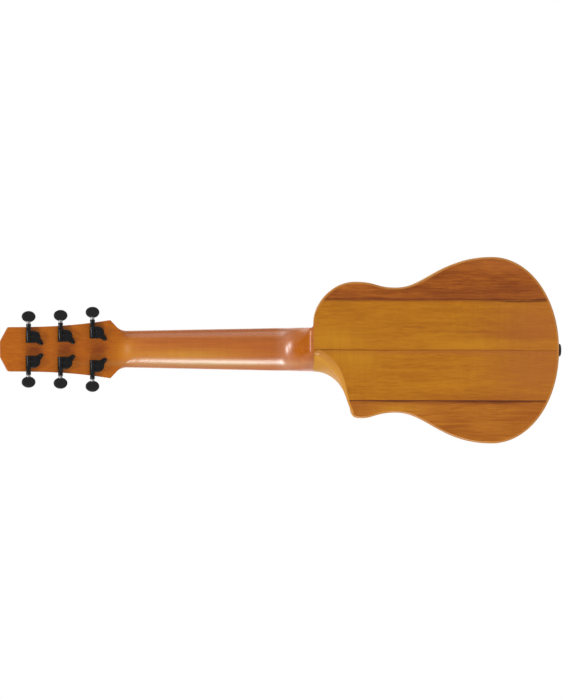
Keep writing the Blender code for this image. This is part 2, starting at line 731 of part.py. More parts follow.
def head_outline():
    """The head's (x, length) outline: flared shoulders, sides that draw in, and a blunt tip."""
    shoulder = (HEAD_SHOULDER_HALF, HEAD_SHOULDER_LENGTH)
    corner = (HEAD_CORNER_HALF, HEAD_CORNER_LENGTH)
    reach = HEAD_CORNER_LENGTH - HEAD_SHOULDER_LENGTH
    flare = HEAD_SHOULDER_HALF - NECK_HALF_NUT
    half = np.vstack([
        [(NECK_HALF_NUT, 0)],
        bezier(
            (NECK_HALF_NUT, 0),
            (NECK_HALF_NUT + 0.08 * flare, 0.25 * shoulder[1]),
            (NECK_HALF_NUT + 0.45 * flare, 0.68 * shoulder[1]),
            shoulder,
            SHORT_STEPS,
        ),
        bezier(
            shoulder,
            (shoulder[0] - 0.685 * (shoulder[0] - corner[0]), shoulder[1] + 0.30 * reach),
            (corner[0], shoulder[1] + 0.55 * reach),
            corner,
        ),
        [(corner[0] - GAP * 3, corner[1] + GAP * 5), (HEAD_TIP_HALF, HEAD_LENGTH)],
    ])
    return np.vstack([half, mirrored(half)[::-1]])


def in_head(mesh):
    """Moves a mesh drawn upright, with Y to the back, into the tilted head's place."""
    bmesh.ops.transform(mesh, matrix=head_matrix(), verts=mesh.verts)
    return mesh


def head_matrix():
    return Matrix.Translation((0, 0, HEAD_START)) @ Matrix.Rotation(-HEAD_TILT, 4, "X")


def post_bores():
    """The holes for the tuners' sleeves, through the head and its veneer."""
    return [
        in_head(cylinder(HEAD_HOLE, (side * out, -HEAD_THICKNESS, along), (side * out, 2 * HEAD_THICKNESS, along)))
        for side in (-1, 1)
        for along, out in POST_PLACES
    ]


def build_neck():
    slab = in_head(plate(head_outline(), 0, HEAD_THICKNESS))
    channel = box(
        (-ROD_WIDTH / 2 - GAP, -ROD_DEPTH, -ROD_TOP_DROP - ROD_LENGTH - GAP),
        (ROD_WIDTH / 2 + GAP, ROD_DEPTH + 2 * GAP, -ROD_TOP_DROP + GAP),
    )
    neck = shaped("neck", loft(neck_rings()), joined=[slab], removed=[channel, *post_bores()])
    piece("neck", neck, "neck")
    rod = box(
        (-ROD_WIDTH / 2, GAP, -ROD_TOP_DROP - ROD_LENGTH), (ROD_WIDTH / 2, ROD_DEPTH + GAP, -ROD_TOP_DROP)
    )
    piece("neck_rod", rod, "steel")
    path = head_outline()
    path[:, 1] = np.maximum(path[:, 1], 2 * GAP)
    veneer = in_head(plate(path, -GAP - VENEER_THICKNESS, -GAP))
    piece("head_veneer", shaped("head_veneer", veneer, removed=post_bores()), "dark_wood")


def build_fretboard():
    """A tapered board with its frets pressed in."""
    top = -GAP - FRETBOARD_THICKNESS
    path = np.array([
        (neck_half(0), -GAP),
        (neck_half(FRETBOARD_END), FRETBOARD_END),
        (-neck_half(FRETBOARD_END), FRETBOARD_END),
        (-neck_half(0), -GAP),
    ])
    frets = []
    for number in range(1, FRET_COUNT + 1):
        z = fret_z(number)
        reach = neck_half(z) - FRET_INSET
        half = FRET_WIDTH / 2
        section = [
            (top + FRET_HEIGHT, -half),
            (top - 0.4 * FRET_HEIGHT, -half),
            (top - FRET_HEIGHT, -0.4 * half),
            (top - FRET_HEIGHT, 0.4 * half),
            (top - 0.4 * FRET_HEIGHT, half),
            (top + FRET_HEIGHT, half),
        ]
        frets.append(loft([[Vector((x, y, z + across)) for y, across in section] for x in (-reach, reach)]))
    board = shaped("fretboard", plate(path, top, -GAP), joined=frets)
    piece("fretboard", board, "dark_wood")


def string_x(number, spread):
    return spread * (number / (len(STRING_RADII) - 1) - 0.5)


def build_nut():
    blank = box((-NECK_HALF_NUT, -GAP - NUT_HEIGHT, 0), (NECK_HALF_NUT, -GAP, NUT_THICKNESS))
    slots = []
    for number, radius in enumerate(STRING_RADII):
        x = string_x(number, STRING_SPREAD_NUT)
        low = (x - radius - GAP, -2 * NUT_HEIGHT, -NUT_THICKNESS)
        high = (x + radius + GAP, -NUT_STRING_HEIGHT + GAP, 2 * NUT_THICKNESS)
        slots.append(box(low, high))
    piece("nut", shaped("nut", blank, removed=slots), "bone")


# Bridge and strings
def build_bridge():
    """A classical tie bridge: wings, a ridge that holds the saddle, a trough and the tie block."""
    section = [
        (BRIDGE_FRONT, 0),
        (BRIDGE_FRONT, WING_HEIGHT),
        (0.7 * BRIDGE_FRONT, BRIDGE_RIDGE_HEIGHT - GAP),
        (0.6 * BRIDGE_FRONT, BRIDGE_RIDGE_HEIGHT),
        (-BRIDGE_RIDGE_BACK, BRIDGE_RIDGE_HEIGHT),
        (-1.4 * BRIDGE_RIDGE_BACK, TROUGH_HEIGHT),
        (-TIE_FRONT, TROUGH_HEIGHT),
        (-TIE_FRONT, TIE_HEIGHT),
        (-TIE_BACK, TIE_HEIGHT),
        (-TIE_BACK, 0),
    ]
    rings = [
        [Vector((x, -GAP - height, SADDLE_Z + along)) for along, height in section]
        for x in (-BRIDGE_BLOCK_HALF, BRIDGE_BLOCK_HALF)
    ]
    wings = box(
        (-BRIDGE_HALF, -GAP - 0.9 * WING_HEIGHT, SADDLE_Z - 0.88 * TIE_BACK),
        (BRIDGE_HALF, -2 * GAP, SADDLE_Z + 0.8 * BRIDGE_FRONT),
    )
    half_slot = SADDLE_WIDTH / 2 + GAP
    slot = box(
        (-SADDLE_LENGTH / 2 - GAP, -2 * BRIDGE_RIDGE_HEIGHT, SADDLE_Z - half_slot),
        (SADDLE_LENGTH / 2 + GAP, -SADDLE_FLOOR, SADDLE_Z + half_slot),
    )
    holes = [
        cylinder(
            radius + GAP,
            (string_x(number, STRING_SPREAD_SADDLE), -TIE_HOLE_HEIGHT, SADDLE_Z - 2 * TIE_BACK),
            (string_x(number, STRING_SPREAD_SADDLE), -TIE_HOLE_HEIGHT, SADDLE_Z - 0.9 * TIE_FRONT),
            SHAFT_SIDES,
        )
        for number, radius in enumerate(STRING_RADII)
    ]
    bridge = shaped("bridge", loft(rings), joined=[wings], removed=[slot, *holes])
    piece("bridge", bridge, "dark_wood")
    saddle = box(
        (-SADDLE_LENGTH / 2, -STRING_HEIGHT + GAP, SADDLE_Z - SADDLE_WIDTH / 2),
        (SADDLE_LENGTH / 2, -SADDLE_FLOOR - GAP, SADDLE_Z + SADDLE_WIDTH / 2),
    )
    slot_top = -SADDLE_FLOOR - 2 * GAP
    top_edges = [edge for edge in saddle.edges if all(vert.co.y < slot_top for vert in edge.verts)]
    bmesh.ops.bevel(saddle, geom=top_edges, offset=SADDLE_WIDTH / 4, segments=2, affect="EDGES")
    piece("saddle", saddle, "bone")


def string_route(number):
    """From the tied end on the bridge, over the saddle and the nut, to the turns round the post."""
    radius = STRING_RADII[number]
    low_side = number < len(STRING_RADII) / 2
    along, out = POST_PLACES[number if low_side else len(STRING_RADII) - 1 - number]
    side = -1 if low_side else 1
    x_bridge, x_nut = string_x(number, STRING_SPREAD_SADDLE), string_x(number, STRING_SPREAD_NUT)
    over_tie = TIE_HEIGHT + 2 * GAP + radius
    behind = TIE_BACK + 2 * GAP + 2 * radius
    tied = [
        (-TIE_FRONT - GAP, over_tie),
        (-TIE_BACK + GAP, over_tie),
        (-behind, TIE_HEIGHT),
        (-behind, TIE_HOLE_HEIGHT + 2 * radius),
        (-TIE_BACK - GAP, TIE_HOLE_HEIGHT),
        (-TIE_FRONT + GAP, TIE_HOLE_HEIGHT),
        (-SADDLE_WIDTH / 2, STRING_HEIGHT + radius),
        (SADDLE_WIDTH / 2, STRING_HEIGHT + radius),
    ]
    route = [Vector((x_bridge, -height, SADDLE_Z + offset)) for offset, height in tied]
    for z in (0, NUT_THICKNESS):
        route.append(Vector((x_nut, -NUT_STRING_HEIGHT - radius, z)))
    reach = POST_RADIUS + GAP + radius
    steps = round(COIL_TURNS * COIL_STEPS)
    for step in range(steps + 1):
        angle = 2 * math.pi * step / COIL_STEPS
        depth = -COIL_HEIGHT - COIL_PITCH * step / COIL_STEPS
        place = Vector((side * (out - reach * math.cos(angle)), depth, along + reach * math.sin(angle)))
        route.append(head_matrix() @ place)
    return route, steps


def least_gap(points, radius):
    """The least clear distance between turns of a winding, at points at least half a turn apart."""
    coil = np.array(points)
    apart = np.linalg.norm(coil[:, None] - coil, axis=2)
    far = np.abs(np.subtract.outer(range(len(coil)), range(len(coil)))) >= COIL_STEPS / 2
    return apart[far].min() - 2 * radius


def build_strings():
    for number, radius in enumerate(STRING_RADII):
        route, steps = string_route(number)
        name = f"string_{STRING_NAMES[number]}"
        print(name, "least gap between turns in mm:", round(1000 * least_gap(route[-steps:], radius), 3))
        curve = bpy.data.curves.new(name, "CURVE")
        curve.dimensions = "3D"
        curve.bevel_depth = radius
        curve.bevel_resolution = 1
        curve.use_fill_caps = True
        spline = curve.splines.new("POLY")
        spline.points.add(len(route) - 1)
        for point, place in zip(spline.points, route):
            point.co = (*place, 1)
        curve.materials.append(finish("wound" if number < len(STRING_RADII) / 2 else "nylon"))
        PARTS.objects.link(bpy.data.objects.new(name, curve))


# Tuners: drawn with X out along the shaft, Y to the back and Z along the head, then mirrored by side
def sided(mesh, side):
    bmesh.ops.scale(mesh, vec=(side, 1, 1), verts=mesh.verts)
    bmesh.ops.recalc_face_normals(mesh, faces=mesh.faces)
    return mesh


def tapered_ear(steps=4):
    """A wide arc round the gear's axis and a narrow one round the screw, joined by their tangents."""
    heading = math.atan2(-EAR_DOWN, -EAR_OUT)
    touch = math.acos((EAR_ROOT_RADIUS - EAR_RADIUS) / math.hypot(EAR_OUT, EAR_DOWN))
    arcs = (
        ((-EAR_OUT, -EAR_DOWN), EAR_RADIUS, heading - touch, heading + touch),
        ((0, 0), EAR_ROOT_RADIUS, heading + touch, heading + 2 * math.pi - touch),
    )
    return np.array([
        (centre[0] + radius * math.cos(angle), centre[1] + radius * math.sin(angle))
        for centre, radius, first, last in arcs
        for angle in np.linspace(first, last, steps + 1)
    ])


def housing_mesh(side):
    """A casting with a gear chamber, a worm barrel, a collar, a screw ear and a sleeve."""
    base = HOUSING_BASE
    axis = base + WORM_HEIGHT
    barrel = WORM_TIP + GAP + HOUSING_WALL
    chamber_floor = base + WORM_HEIGHT - GEAR_WIDTH / 2 - 2 * GAP
    chamber_roof = base + WORM_HEIGHT + GEAR_WIDTH / 2 + 2 * GAP
    front = -GAP - VENEER_THICKNESS
    lid = base + HOUSING_HEIGHT
    collar_start = HOUSING_HALF - LID_STEP
    joined = [
        cylinder(LID_RADIUS, (0, lid - LID_STEP, 0), (0, lid + LID_STEP, 0), CHAMBER_SIDES),
        box((-HOUSING_HALF, base, 0), (HOUSING_HALF, axis, AXIS_OFFSET + barrel)),
        cylinder(barrel, (-HOUSING_HALF, axis, AXIS_OFFSET), (HOUSING_HALF, axis, AXIS_OFFSET)),
        cylinder(COLLAR_RADIUS, (collar_start, axis, AXIS_OFFSET), (COLLAR_END, axis, AXIS_OFFSET)),
        plate(tapered_ear(), base, base + EAR_THICKNESS),
        cylinder(SLEEVE_RADIUS, (0, base + LID_STEP, 0), (0, front - GAP - LID_STEP, 0)),
        cylinder(SLEEVE_NUT_RADIUS, (0, front - GAP, 0), (0, front - GAP - SLEEVE_NUT_THICKNESS, 0), HEX_SIDES),
    ]
    removed = [
        cylinder(GEAR_TIP + GAP, (0, chamber_floor, 0), (0, chamber_roof, 0), CHAMBER_SIDES),
        cylinder(
            WORM_TIP + GAP,
            (-HOUSING_HALF + 2 * GAP, axis, AXIS_OFFSET),
            (HOUSING_HALF - 2 * GAP, axis, AXIS_OFFSET),
        ),
        cylinder(WORM_ROOT + GAP, (0, axis, AXIS_OFFSET), (FERRULE_END, axis, AXIS_OFFSET)),
        cylinder(SLEEVE_BORE, (0, -HOUSING_BASE, 0), (0, axis, 0)),
    ]
    casting = cylinder(GEAR_TIP + 2 * GAP + HOUSING_WALL, (0, base, 0), (0, lid, 0), CHAMBER_SIDES)
    name = f"tuner_housing_{'treble' if side > 0 else 'bass'}"
    return shaped(
        name,
        sided(casting, side),
        joined=[sided(tool, side) for tool in joined],
        removed=[sided(tool, side) for tool in removed],
    )


def thread():
    """The worm's ridge: a four-sided section swept along a helix round the shaft."""
    slope = math.tan(PRESSURE_ANGLE)
    root = WORM_ROOT - GAP / 2
    section = (
        (root, -TOOTH_HALF - (WORM_RADIUS - root) * slope),
        (WORM_TIP, -TOOTH_HALF + TOOTH_REACH * slope),
        (WORM_TIP, TOOTH_HALF - TOOTH_REACH * slope),
        (root, TOOTH_HALF + (WORM_RADIUS - root) * slope),
    )
    steps = round(WORM_TURNS * WORM_STEPS)
    rings = []
    for step in range(steps + 1):
        angle = 2 * math.pi * (step - steps / 2) / WORM_STEPS
        along = WORM_PITCH * angle / (2 * math.pi)
        rings.append([
            Vector((along + across, -radius * math.sin(angle), -radius * math.cos(angle)))
            for radius, across in section
        ])
    return loft(rings)


def button():
    """An oval button with softened edges."""
    power = 2 / BUTTON_POWER
    rings = []
    for depth, share in ((-0.5, BUTTON_EDGE_SHARE), (-0.28, 1), (0.28, 1), (0.5, BUTTON_EDGE_SHARE)):
        path = []
        for step in range(BUTTON_POINTS):
            angle = 2 * math.pi * step / BUTTON_POINTS
            across = math.copysign(abs(math.sin(angle)) ** power, math.sin(angle))
            along = math.copysign(abs(math.cos(angle)) ** power, math.cos(angle))
            path.append(Vector((
                FERRULE_END + BUTTON_LENGTH / 2 * (1 + share * along),
                depth * BUTTON_THICKNESS,
                share * across * BUTTON_WIDTH / 2,
            )))
        rings.append(path)
    return loft(rings)


def knob_mesh(side):
    """Button, ferrule and shaft with the worm, about the shaft's axis."""
    inner_end = -HOUSING_HALF + 3 * GAP
    into_button = FERRULE_END + BUTTON_LENGTH / 3
    shaft = turned(
        [
            (0, inner_end),
            (WORM_ROOT, inner_end),
            (WORM_ROOT, COLLAR_END + GAP),
            (FERRULE_RADIUS, COLLAR_END + GAP),
            (FERRULE_RADIUS, into_button),
            (0, into_button),
        ],
        (1, 0, 0),
        SHAFT_SIDES,
    )
    name = f"tuner_knob_{'treble' if side > 0 else 'bass'}"
    return shaped(name, sided(shaft, side), joined=[sided(thread(), side), sided(button(), side)])


def gear():
    """The gear's teeth lean with the worm's thread, and a gap faces the worm."""
    slope = math.tan(PRESSURE_ANGLE)
    lean = WORM_PITCH / (2 * math.pi * WORM_RADIUS) / GEAR_RADIUS
    root_half = TOOTH_HALF + (GEAR_RADIUS - GEAR_ROOT) * slope
    tip_half = TOOTH_HALF - TOOTH_REACH * slope
    corners = ((GEAR_ROOT, -root_half), (GEAR_TIP, -tip_half), (GEAR_TIP, tip_half), (GEAR_ROOT, root_half))
    rings = []
    for level in (-GEAR_WIDTH / 2, GEAR_WIDTH / 2):
        path = []
        for tooth in range(GEAR_TEETH):
            centre = 2 * math.pi * (tooth + 0.5) / GEAR_TEETH + lean * level
            for radius, across in corners:
                angle = centre + across / radius
                path.append(Vector((
                    -radius * math.sin(angle), HOUSING_BASE + WORM_HEIGHT + level, radius * math.cos(angle)
                )))
        rings.append(path)
    return loft(rings)


def post_mesh(side):
    """Gear and post: the post narrows where the string winds, and has a cross hole."""
    gear_back = HOUSING_BASE + WORM_HEIGHT + GEAR_WIDTH / 2
    waist = POST_WAIST_SHARE * POST_RADIUS
    post = turned(
        [
            (0, gear_back - GAP),
            (POST_RADIUS, gear_back - GAP),
            (POST_RADIUS, -0.3 * POST_LENGTH),
            (waist, -0.4 * POST_LENGTH),
            (waist, -0.7 * POST_LENGTH),
            (POST_RADIUS, -0.8 * POST_LENGTH),
            (POST_RADIUS, -POST_LENGTH + GAP),
            (POST_RADIUS - GAP, -POST_LENGTH),
            (0, -POST_LENGTH),
        ],
        (0, 1, 0),
    )
    cross = -0.87 * POST_LENGTH
    hole = cylinder(POST_HOLE, (-2 * POST_RADIUS, cross, 0), (2 * POST_RADIUS, cross, 0), HOLE_SIDES)
    name = f"tuner_post_{'treble' if side > 0 else 'bass'}"
    return shaped(name, sided(post, side), joined=[sided(gear(), side)], removed=[sided(hole, side)])


def build_tuners():
    """Tuners count from the nut: 1 to 3 on the bass side, 4 to 6 on the treble side."""
    head = bpy.data.objects.new("head_frame", None)
    head.matrix_world = head_matrix()
    PARTS.objects.link(head)
    number = 0
    for side in (-1, 1):
        shapes = [
            ("tuner_housing", housing_mesh(side), "black_metal", 0, 0),
            ("tuner_knob", knob_mesh(side), "black_plastic", HOUSING_BASE + WORM_HEIGHT, AXIS_OFFSET),
            ("tuner_post", post_mesh(side), "steel", 0, 0),
        ]
        for along, out in POST_PLACES:
            number += 1
            for name, mesh, look, depth, ahead in shapes:
                piece(f"{name}_{number}", mesh, look, head, (side * out, depth, along + ahead))


# Strap button
def build_strap_button():
    """A domed button on a washer, held by a screw into the tail block."""
    middle = (TOP_THICKNESS + back_y(TAIL_Z)) / 2
    place = (0, middle, TAIL_Z)
    start = GAP + WASHER_THICKNESS + GAP
    bore = SCREW_RADIUS + GAP
    down = (0, 0, -1)
    end = start + STRAP_LENGTH
    dome = turned(
        [
            (0, start),
            (STRAP_NECK_RADIUS, start),
            (STRAP_NECK_RADIUS, start + 0.15 * STRAP_LENGTH),
            (0.93 * STRAP_RADIUS, start + 0.3 * STRAP_LENGTH),
            (STRAP_RADIUS, start + 0.5 * STRAP_LENGTH),
            (0.93 * STRAP_RADIUS, start + 0.75 * STRAP_LENGTH),
            (0.68 * STRAP_RADIUS, end),
            (0, end),
        ],
        down,
        STRAP_SIDES,
    )
    sink = 0.4 * STRAP_LENGTH
    holes = [
        cylinder(bore, (0, 0, 0), (0, 0, -2 * end)),
        cylinder(SCREW_HEAD_RADIUS + GAP, (0, 0, -end + sink), (0, 0, -2 * end)),
    ]
    piece("strap_button", shaped("strap_button", dome, removed=holes), "black_plastic", place=place)
    washer = cylinder(STRAP_NECK_RADIUS, (0, 0, -GAP), (0, 0, -GAP - WASHER_THICKNESS), STRAP_SIDES)
    hole = cylinder(bore, (0, 0, 0), (0, 0, -2 * end))
    piece("strap_button_washer", shaped("washer", washer, removed=[hole]), "felt", place=place)
    seat = end - sink + GAP
    screw = turned(
        [
            (0, -SCREW_LENGTH),
            (0.6 * SCREW_RADIUS, -SCREW_LENGTH + GAP),
            (SCREW_RADIUS, -0.85 * SCREW_LENGTH),
            (SCREW_RADIUS, seat),
            (SCREW_HEAD_RADIUS, seat),
            (SCREW_HEAD_RADIUS, end - 2 * GAP),
            (0, end),
        ],
        down,
    )
    piece("strap_button_screw", screw, "steel", place=place)


build_soundboard()
build_ribs()
build_back()
build_blocks()
build_linings()
build_braces()
build_neck()
build_fretboard()
build_nut()
build_bridge()
build_strings()
build_tuners()
build_strap_button()
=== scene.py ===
# A guitalele seen from behind: camera and light, then a finished surface for every part of the frame
import math

import bmesh
import bpy
import numpy as np
from mathutils import Matrix, Vector


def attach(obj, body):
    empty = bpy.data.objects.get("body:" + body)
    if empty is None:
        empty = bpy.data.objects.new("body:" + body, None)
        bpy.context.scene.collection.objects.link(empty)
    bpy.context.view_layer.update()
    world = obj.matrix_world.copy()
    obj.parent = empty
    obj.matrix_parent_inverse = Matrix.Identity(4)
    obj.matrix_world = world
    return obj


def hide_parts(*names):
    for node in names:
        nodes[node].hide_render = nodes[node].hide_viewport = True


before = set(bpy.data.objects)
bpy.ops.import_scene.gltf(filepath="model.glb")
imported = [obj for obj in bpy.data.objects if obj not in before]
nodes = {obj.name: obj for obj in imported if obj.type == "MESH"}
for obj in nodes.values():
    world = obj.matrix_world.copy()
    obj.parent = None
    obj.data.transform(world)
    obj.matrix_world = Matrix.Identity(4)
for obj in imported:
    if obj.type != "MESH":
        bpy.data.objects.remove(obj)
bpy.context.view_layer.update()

# Camera, where the photograph was taken from: 3 m behind the back and a little to the bass side. The turn
# leans the picture slightly, and the lens and the sensor's width are in millimetres
photo = {
    "place": (-0.028, 3.066, -0.1993), "aim": (0.0001, 0.066, -0.1993), "turn": -0.0016,
    "lens": 123.8, "sensor": 36.0,
}

scene = bpy.context.scene
scene.view_settings.view_transform = "Standard"
lensData = bpy.data.cameras.new("photoCamera")
lensData.lens = photo["lens"]
lensData.sensor_width = photo["sensor"]
camera = bpy.data.objects.new("photoCamera", lensData)
back = (Vector(photo["place"]) - Vector(photo["aim"])).normalized()
right = Vector((-1, 0, -photo["turn"])).cross(back).normalized()
axes = Matrix((right, back.cross(right), back)).transposed().to_4x4()
camera.matrix_world = Matrix.Translation(photo["place"]) @ axes
scene.collection.objects.link(camera)
scene.camera = camera

# Soft boxes: where each stands, its size and its power. All of them face the instrument's middle
lampAim = (0, 0.03, -0.2)
softBoxes = {
    "treble": {"place": (1.64, 1.17, -0.05), "size": (0.50, 0.85), "power": 19},
    "bass": {"place": (-1.90, 0.35, -0.20), "size": (1.0, 1.4), "power": 11},
    "headEnd": {"place": (0.0, 1.30, 1.35), "size": (0.34, 0.34), "power": 12},
    "headLow": {"place": (-0.3, 0.66, 1.60), "size": (0.30, 0.14), "power": 8},
    "tail": {"place": (0.3, 1.30, -1.90), "size": (1.4, 0.3), "power": 4},
    "frontTreble": {"place": (0.6, -2.3, 0.2), "size": (1.4, 1.4), "power": 14},
    "frontBass": {"place": (-0.8, -2.2, 0.1), "size": (1.4, 1.4), "power": 14},
}


def softBox(name, look):
    # a rectangular lamp, turned so that it shines from its place towards the aim
    lamp = bpy.data.lights.new(name, "AREA")
    lamp.shape = "RECTANGLE"
    lamp.size, lamp.size_y = look["size"]
    lamp.energy = look["power"]
    item = bpy.data.objects.new(name, lamp)
    item.location = look["place"]
    item.rotation_euler = (Vector(lampAim) - Vector(look["place"])).to_track_quat("-Z", "Z").to_euler()
    scene.collection.objects.link(item)


for name, look in softBoxes.items():
    softBox(name + "Light", look)


# Node helpers
def addNode(tree, kind, inputs=None, **settings):
    # a node with its settings, each input linked to a socket or set to a value
    item = tree.nodes.new(kind)
    for key, value in settings.items():
        setattr(item, key, value)
    for key, value in (inputs or {}).items():
        if isinstance(value, bpy.types.NodeSocket):
            tree.links.new(value, item.inputs[key])
        else:
            item.inputs[key].default_value = value
    return item


def calc(tree, operation, first, second=0.0, clamp=False):
    # one step of arithmetic
    item = addNode(tree, "ShaderNodeMath", {0: first, 1: second}, operation=operation, use_clamp=clamp)
    return item.outputs[0]


def blendColours(tree, share, first, second):
    # the first colour where the share is 0, the second where it is 1
    return addNode(tree, "ShaderNodeMix", {0: share, 6: first, 7: second}, data_type="RGBA").outputs[2]


def noise(tree, vector, scale, detail=4.0, roughness=0.55, distortion=0.0):
    # fractal noise whose cells have their own size along each axis, in cells per metre
    mapping = addNode(tree, "ShaderNodeMapping", {"Vector": vector, "Scale": scale})
    values = {"Vector": mapping.outputs[0], "Scale": 1.0, "Detail": detail, "Roughness": roughness}
    item = addNode(tree, "ShaderNodeTexNoise", {**values, "Distortion": distortion})
    return item.outputs["Fac"]


def ramp(tree, value, low, high):
    # 0 below low, 1 above high, smooth between
    item = addNode(
        tree, "ShaderNodeMapRange", {"Value": value, "From Min": low, "From Max": high},
        interpolation_type="SMOOTHSTEP", clamp=True,
    )
    return item.outputs["Result"]


def objectPlace(tree):
    # a point's place on the instrument, in metres
    return addNode(tree, "ShaderNodeTexCoord").outputs["Object"]


def grainPlace(tree):
    # a point's place along the grain, as its mesh holds it
    return addNode(tree, "ShaderNodeAttribute", attribute_name="grain").outputs["Vector"]


def splitAxes(tree, vector):
    # a vector's three parts
    return addNode(tree, "ShaderNodeSeparateXYZ", {0: vector}).outputs


def rgba(colour):
    # the colour with full opacity
    return (*colour, 1.0)


lacquer = {"ior": 2.4, "roughness": 0.28}


def newMaterial(name, roughness, metallic=0.0, specular=0.5, coat=0.0):
    # a material with these constants, under a lacquer as strong as coat says
    material = bpy.data.materials.new(name)
    material.use_nodes = True
    tree = material.node_tree
    shader = tree.nodes["Principled BSDF"]
    shader.inputs["Roughness"].default_value = roughness
    shader.inputs["Metallic"].default_value = metallic
    shader.inputs["Coat Weight"].default_value = coat
    shader.inputs["Coat IOR"].default_value = lacquer["ior"]
    shader.inputs["Coat Roughness"].default_value = lacquer["roughness"]
    shader.inputs["Specular IOR Level"].default_value = specular
    return material, tree, shader


def bumpOn(tree, shader, height, distance, strength=1.0):
    # tilts the surface as if the height, times the distance in metres, stood on it
    item = addNode(tree, "ShaderNodeBump", {"Height": height, "Distance": distance, "Strength": strength})
    tree.links.new(item.outputs[0], shader.inputs["Normal"])


# Floor and world: white where the camera or a reflection sees them, plain light elsewhere
def seenDirectly(tree):
    # 1 for rays from the camera, off a gloss or through glass, 0 for all others
    path = addNode(tree, "ShaderNodeLightPath")
    seen = calc(tree, "MAXIMUM", path.outputs["Is Camera Ray"], path.outputs["Is Glossy Ray"])
    return calc(tree, "MAXIMUM", seen, path.outputs["Is Transmission Ray"])


worldLight = 0.42
world = bpy.data.worlds.new("studio")
scene.world = world
world.use_nodes = True
tree = world.node_tree
background = tree.nodes["Background"]
background.inputs["Color"].default_value = (1, 1, 1, 1)
extra = calc(tree, "MULTIPLY", seenDirectly(tree), 1.0 - worldLight)
tree.links.new(calc(tree, "ADD", extra, worldLight), background.inputs["Strength"])

floorLook = {
    "height": -0.66, "half": 0.58, "colour": (0.86, 0.86, 0.85), "grey": (0.78, 0.78, 0.77), "cells": 40,
    "speckle": 0.04, "glow": 0.22, "roughness": 0.8, "specular": 0.2,
}
material, tree, shader = newMaterial("paleFloor", floorLook["roughness"], specular=floorLook["specular"])
speckle = noise(tree, objectPlace(tree), (floorLook["cells"],) * 3)
speckle = calc(tree, "MULTIPLY", speckle, floorLook["speckle"])
shade = blendColours(tree, speckle, rgba(floorLook["colour"]), rgba(floorLook["grey"]))
tree.links.new(shade, shader.inputs["Base Color"])
shader.inputs["Emission Color"].default_value = (1, 1, 1, 1)
glow = calc(tree, "MULTIPLY", seenDirectly(tree), floorLook["glow"])
tree.links.new(glow, shader.inputs["Emission Strength"])
floorMesh = bpy.data.meshes.new("floor")
corners = [(x * floorLook["half"], y * floorLook["half"]) for x, y in ((-1, -1), (1, -1), (1, 1), (-1, 1))]
floorMesh.from_pydata([(x, y, floorLook["height"]) for x, y in corners], [], [(0, 1, 2, 3)])
floorMesh.materials.append(material)
floor = bpy.data.objects.new("floor", floorMesh)
scene.collection.objects.link(floor)
print("stage: camera, lights and floor")


# Surfaces from numpy grids
def grid(points, wrapRows=False, wrapColumns=True, caps="none", paint=0, grain=None):
    # a surface from an array of points, rows by columns: each cell of the grid is one face, and a cap closes
    # the last row ("end") or the first and the last ("both")
    rows, columns = points.shape[:2]
    index = np.arange(rows * columns).reshape(rows, columns)
    closing = {"none": [], "end": [index[-1]], "both": [index[0, ::-1], index[-1]]}[caps]
    if wrapRows:
        index = np.vstack([index, index[:1]])
    if wrapColumns:
        index = np.hstack([index, index[:, :1]])
    cells = np.stack([index[:-1, :-1], index[:-1, 1:], index[1:, 1:], index[1:, :-1]], axis=-1).reshape(-1, 4)
    grain = (points if grain is None else grain).reshape(-1, 3)
    return {"points": points.reshape(-1, 3), "cells": cells, "caps": closing, "paint": paint, "grain": grain}


def settle(name, mesh, body, node):
    # puts the mesh in the scene, on its body and in the place of the frame's node
    item = bpy.data.objects.new(name, mesh)
    scene.collection.objects.link(item)
    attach(item, body)
    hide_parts(node)
    return item


poleGap = 1e-7


def makePiece(name, shells, finishNames, node, body="instrument", sharp=35):
    # joins the shells in one mesh, merges poles, turns the faces outward and sets it on its body
    starts = np.cumsum([0] + [len(shell["points"]) for shell in shells])
    faces, paint = [], []
    for shell, start in zip(shells, starts):
        added = (shell["cells"] + start).tolist() + [(cap + start).tolist() for cap in shell["caps"]]
        faces += added
        paint.append(np.broadcast_to(shell["paint"], len(added)))
    mesh = bpy.data.meshes.new(name)
    mesh.from_pydata(np.vstack([shell["points"] for shell in shells]).tolist(), [], faces)
    mesh.polygons.foreach_set("material_index", np.concatenate(paint))
    grain = mesh.attributes.new("grain", "FLOAT_VECTOR", "POINT")
    values = np.vstack([shell["grain"] for shell in shells])
    grain.data.foreach_set("vector", values.astype(np.float32).ravel())
    shape = bmesh.new()
    shape.from_mesh(mesh)
    bmesh.ops.remove_doubles(shape, verts=shape.verts, dist=poleGap)
    bmesh.ops.recalc_face_normals(shape, faces=shape.faces)
    shape.to_mesh(mesh)
    shape.free()
    for finish in finishNames:
        mesh.materials.append(finishes[finish])
    mesh.shade_smooth()
    mesh.set_sharp_from_angle(angle=math.radians(sharp))
    settle(name, mesh, body, node)


def turning(profile, sides=40):
    # a lathe shape: each (radius, distance) pair becomes a circle round the third axis
    radius, along = np.array(profile).T
    angle = np.linspace(0, 2 * math.pi, sides, endpoint=False)
    circles = [radius[:, None] * np.cos(angle), radius[:, None] * np.sin(angle), along[:, None] + 0 * angle]
    return np.stack(circles, axis=-1)


def arc(centre, radius, start, end, steps):
    # points of a circle's arc, angles in degrees
    angle = np.radians(np.linspace(start, end, steps + 1))
    return [(centre[0] + radius * math.cos(a), centre[1] + radius * math.sin(a)) for a in angle]


def curve(start, first, second, end, steps):
    # a cubic curve from its two ends and two handles, without the first point
    t = np.linspace(0, 1, steps + 1)[1:, None]
    start, first, second, end = (np.array(point) for point in (start, first, second, end))
    return (1 - t) ** 3 * start + 3 * (1 - t) ** 2 * t * first + 3 * (1 - t) * t**2 * second + t**3 * end


